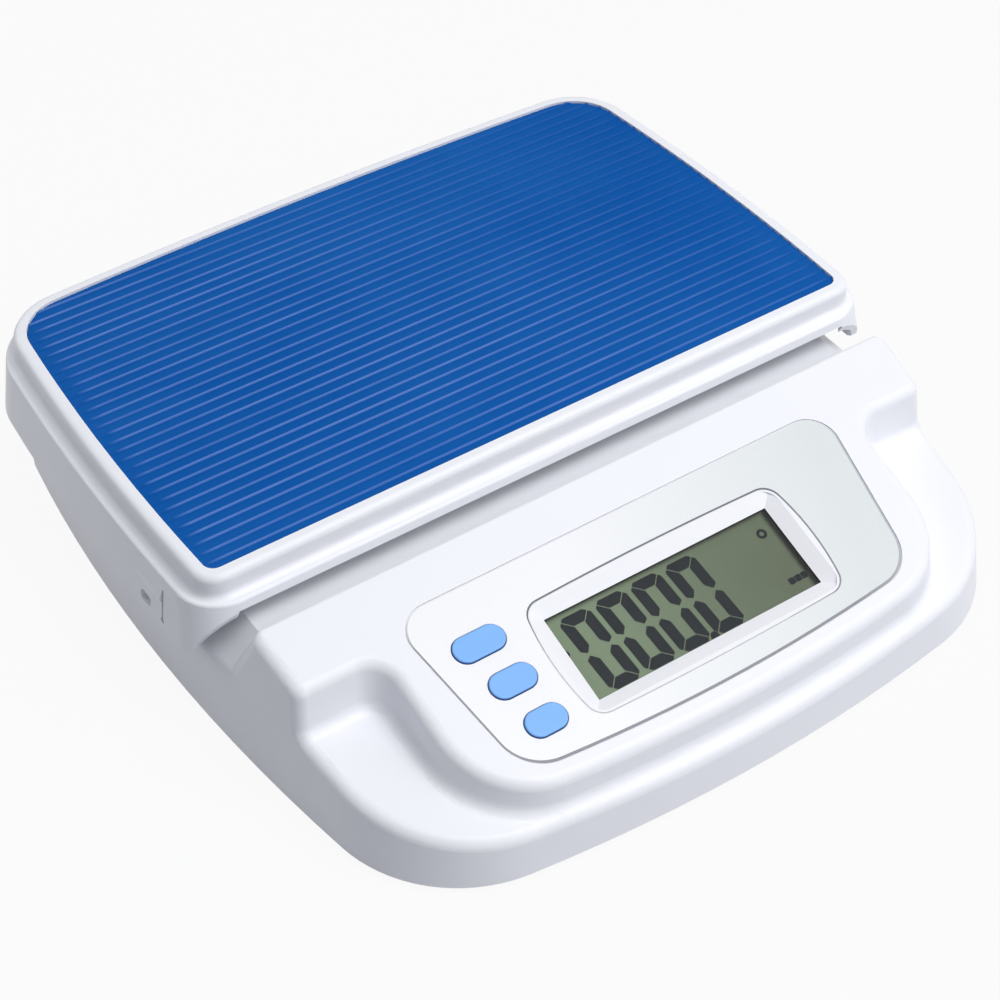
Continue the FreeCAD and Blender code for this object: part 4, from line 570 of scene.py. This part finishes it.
def plate(bm, outline, low, height):
    """Prism of a closed outline, added to a bmesh."""
    bottom = [bm.verts.new((x, y, low)) for x, y in outline]
    top = [bm.verts.new((x, y, low + height)) for x, y in outline]
    bm.faces.new(list(reversed(bottom)))
    bm.faces.new(top)
    for i in range(len(outline)):
        j = (i + 1) % len(outline)
        bm.faces.new((bottom[i], bottom[j], top[j], top[i]))


def nought_outlines():
    """Six lit segments of a nought, its lower left corner at the origin."""
    w, h, t, c, g = DIGIT_WIDTH, DIGIT_HEIGHT, STROKE, CORNER_CUT, SEGMENT_GAP
    flat = [(c / 2, h - c / 2), (c, h), (w - c, h), (w - c / 2, h - c / 2), (w - t, h - t), (t, h - t)]
    side = [(0, h - c), (c / 2 - g / 2, h - c / 2 - g / 2), (t, h - t - g),
            (t, h / 2 + TIP + TIP_INNER), (t * TIP_SHARE, h / 2 + TIP), (0, h / 2 + TIP + TIP_OUTER)]
    shapes = []
    for outline in (flat, side):
        shapes.append(outline)
        shapes.append([(x, h - y) for x, y in outline])
    shapes += [[(w - x, y) for x, y in side], [(w - x, h - y) for x, y in side]]
    return shapes


def ring_outline(x, y, radius, count):
    angles = [2 * math.pi * i / count for i in range(count)]
    return [(x + radius * math.cos(angle), y + radius * math.sin(angle)) for angle in angles]


def finish_piece(name, bm, material, body, matrix):
    """Object from a bmesh drawn in the frame that the matrix places."""
    bmesh.ops.recalc_face_normals(bm, faces=bm.faces)
    mesh = bpy.data.meshes.new(name)
    bm.to_mesh(mesh)
    bm.free()
    mesh.transform(matrix)
    mesh.materials.append(material)
    item = bpy.data.objects.new(name, mesh)
    bpy.context.scene.collection.objects.link(item)
    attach(item, body)


def add_digits(materials, console):
    """Four noughts, as the scale shows with nothing on it, and the point before the last."""
    bm = bmesh.new()
    for number in range(DIGIT_COUNT):
        left = DIGIT_LEFT + number * DIGIT_PITCH
        for outline in nought_outlines():
            placed = [(left + x + DIGIT_LEAN * y, DIGIT_LOW + y) for x, y in outline]
            plate(bm, placed, LCD_FRONT, INK)
    point = [(-1, 0), (1, 0), (0.8, 0.6), (0.35, 1), (-0.35, 1), (-0.8, 0.6)]
    placed = [(POINT_X + POINT_HALF * x, DIGIT_LOW + POINT_HEIGHT * y) for x, y in point]
    plate(bm, placed, LCD_FRONT, INK)
    finish_piece("lcd_digits", bm, materials["segment"], "base", console)


def join_rings(bm, rings):
    """Faces between each closed ring of vertices and the next, and between the last and the first."""
    count = len(rings[0])
    for first, second in zip(rings, (*rings[1:], rings[0])):
        for i in range(count):
            j = (i + 1) % count
            bm.faces.new((first[i], first[j], second[j], second[i]))


def ring_plate(bm, x, y, outer, inner, low, height, count):
    """Flat ring, added to a bmesh."""
    loops = [[bm.verts.new((px, py, z)) for px, py in ring_outline(x, y, radius, count)]
             for radius in (outer, inner) for z in (low, low + height)]
    outer_low, outer_top, inner_low, inner_top = loops
    join_rings(bm, (outer_low, outer_top, inner_top, inner_low))


def front_loops(item, console, height):
    """Outlines, the widest first, of the faces of an object that lie at a height in the console frame."""
    bm = bmesh.new()
    bm.from_mesh(item.data)
    bm.transform(console.inverted())
    bmesh.ops.remove_doubles(bm, verts=bm.verts, dist=WELD)
    level = {face for face in bm.faces if all(abs(vert.co.z - height) < SAME_LEVEL for vert in face.verts)}
    after = {}
    for face in level:
        for loop in face.loops:
            if not any(other in level for other in loop.edge.link_faces if other is not face):
                start, end = loop.vert, loop.link_loop_next.vert
                after[start.index] = (end.index, start.co.xy.copy())
    bm.free()
    loops = []
    while after:
        at = next(iter(after))
        loop = []
        while at in after:
            at, point = after.pop(at)
            loop.append(point)
        loops.append(loop)
    return sorted(loops, key=lambda loop: min(point.x for point in loop) - max(point.x for point in loop))


def strip(bm, loop, width, low, height):
    """Thin band along a closed outline, as wide to its left as width says for each outward direction."""
    count = len(loop)
    rings = [[], [], [], []]
    for i, point in enumerate(loop):
        along = (loop[(i + 1) % count] - loop[i - 1]).normalized()
        inward = Vector((-along.y, along.x))
        inner = point + inward * width(-inward)
        for ring, place, z in zip(rings, (point, point, inner, inner), (low, low + height, low + height, low)):
            ring.append(bm.verts.new((place.x, place.y, z)))
    join_rings(bm, rings)


def add_outlines(materials, console):
    """Painted shadow lines in the gaps round the film: heavy at its lower and left edges, fine above, and one round
    the bezel.
    """
    edge, opening = front_loops(nodes["panel_overlay"], console, FILM_FRONT)[:2]
    for name, loop, width in (
        # both lines are wider towards their lower and left sides, where the gap's painted shade shows
        ("panel_shadow_line", edge, lambda out: (0.3 + 0.75 * max(0, -out.y) ** 2 + 0.3 * abs(out.x)) * MM),
        ("bezel_shadow_line", opening, lambda out: (0.3 + 0.3 * max(0, -out.y) + 0.2 * max(0, -out.x)) * MM),
    ):
        bm = bmesh.new()
        strip(bm, loop, width, FILM_FRONT, INK)
        finish_piece(name, bm, materials[name], "base", console)


def add_marks(materials, console):
    """Small plain marks of the display: a ring, three bars and a tick."""
    bm = bmesh.new()
    ring_plate(bm, *RING_PLACE, RING_OUTER, RING_INNER, LCD_FRONT, INK, RING_COUNT)
    for number in range(BAR_COUNT):
        left, low = BAR_LEFT + number * BAR_PITCH, BAR_LOW
        right, top = left + BAR_WIDTH, low + BAR_HEIGHT
        outline = [(left + BAR_CUT, low), (right - BAR_CUT, low), (right, low + BAR_CUT), (right, top - BAR_CUT),
                   (right - BAR_CUT, top), (left + BAR_CUT, top), (left, top - BAR_CUT), (left, low + BAR_CUT)]
        plate(bm, outline, LCD_FRONT, INK)
    tick = [(0, -TICK_HALF), (TICK_WIDTH, -TICK_TIP), (TICK_WIDTH, TICK_TIP), (0, TICK_HALF)]
    plate(bm, [(TICK_X + x, TICK_V + y) for x, y in tick], LCD_FRONT, INK)
    finish_piece("lcd_marks", bm, materials["segment"], "base", console)


materials = make_materials()
dress_nodes(materials)
add_bending_beam()
console = console_frame()
add_digits(materials, console)
add_marks(materials, console)
add_outlines(materials, console)
add_camera()
add_lights()
add_world()
add_floor()
bpy.context.scene.view_settings.view_transform = "Standard"
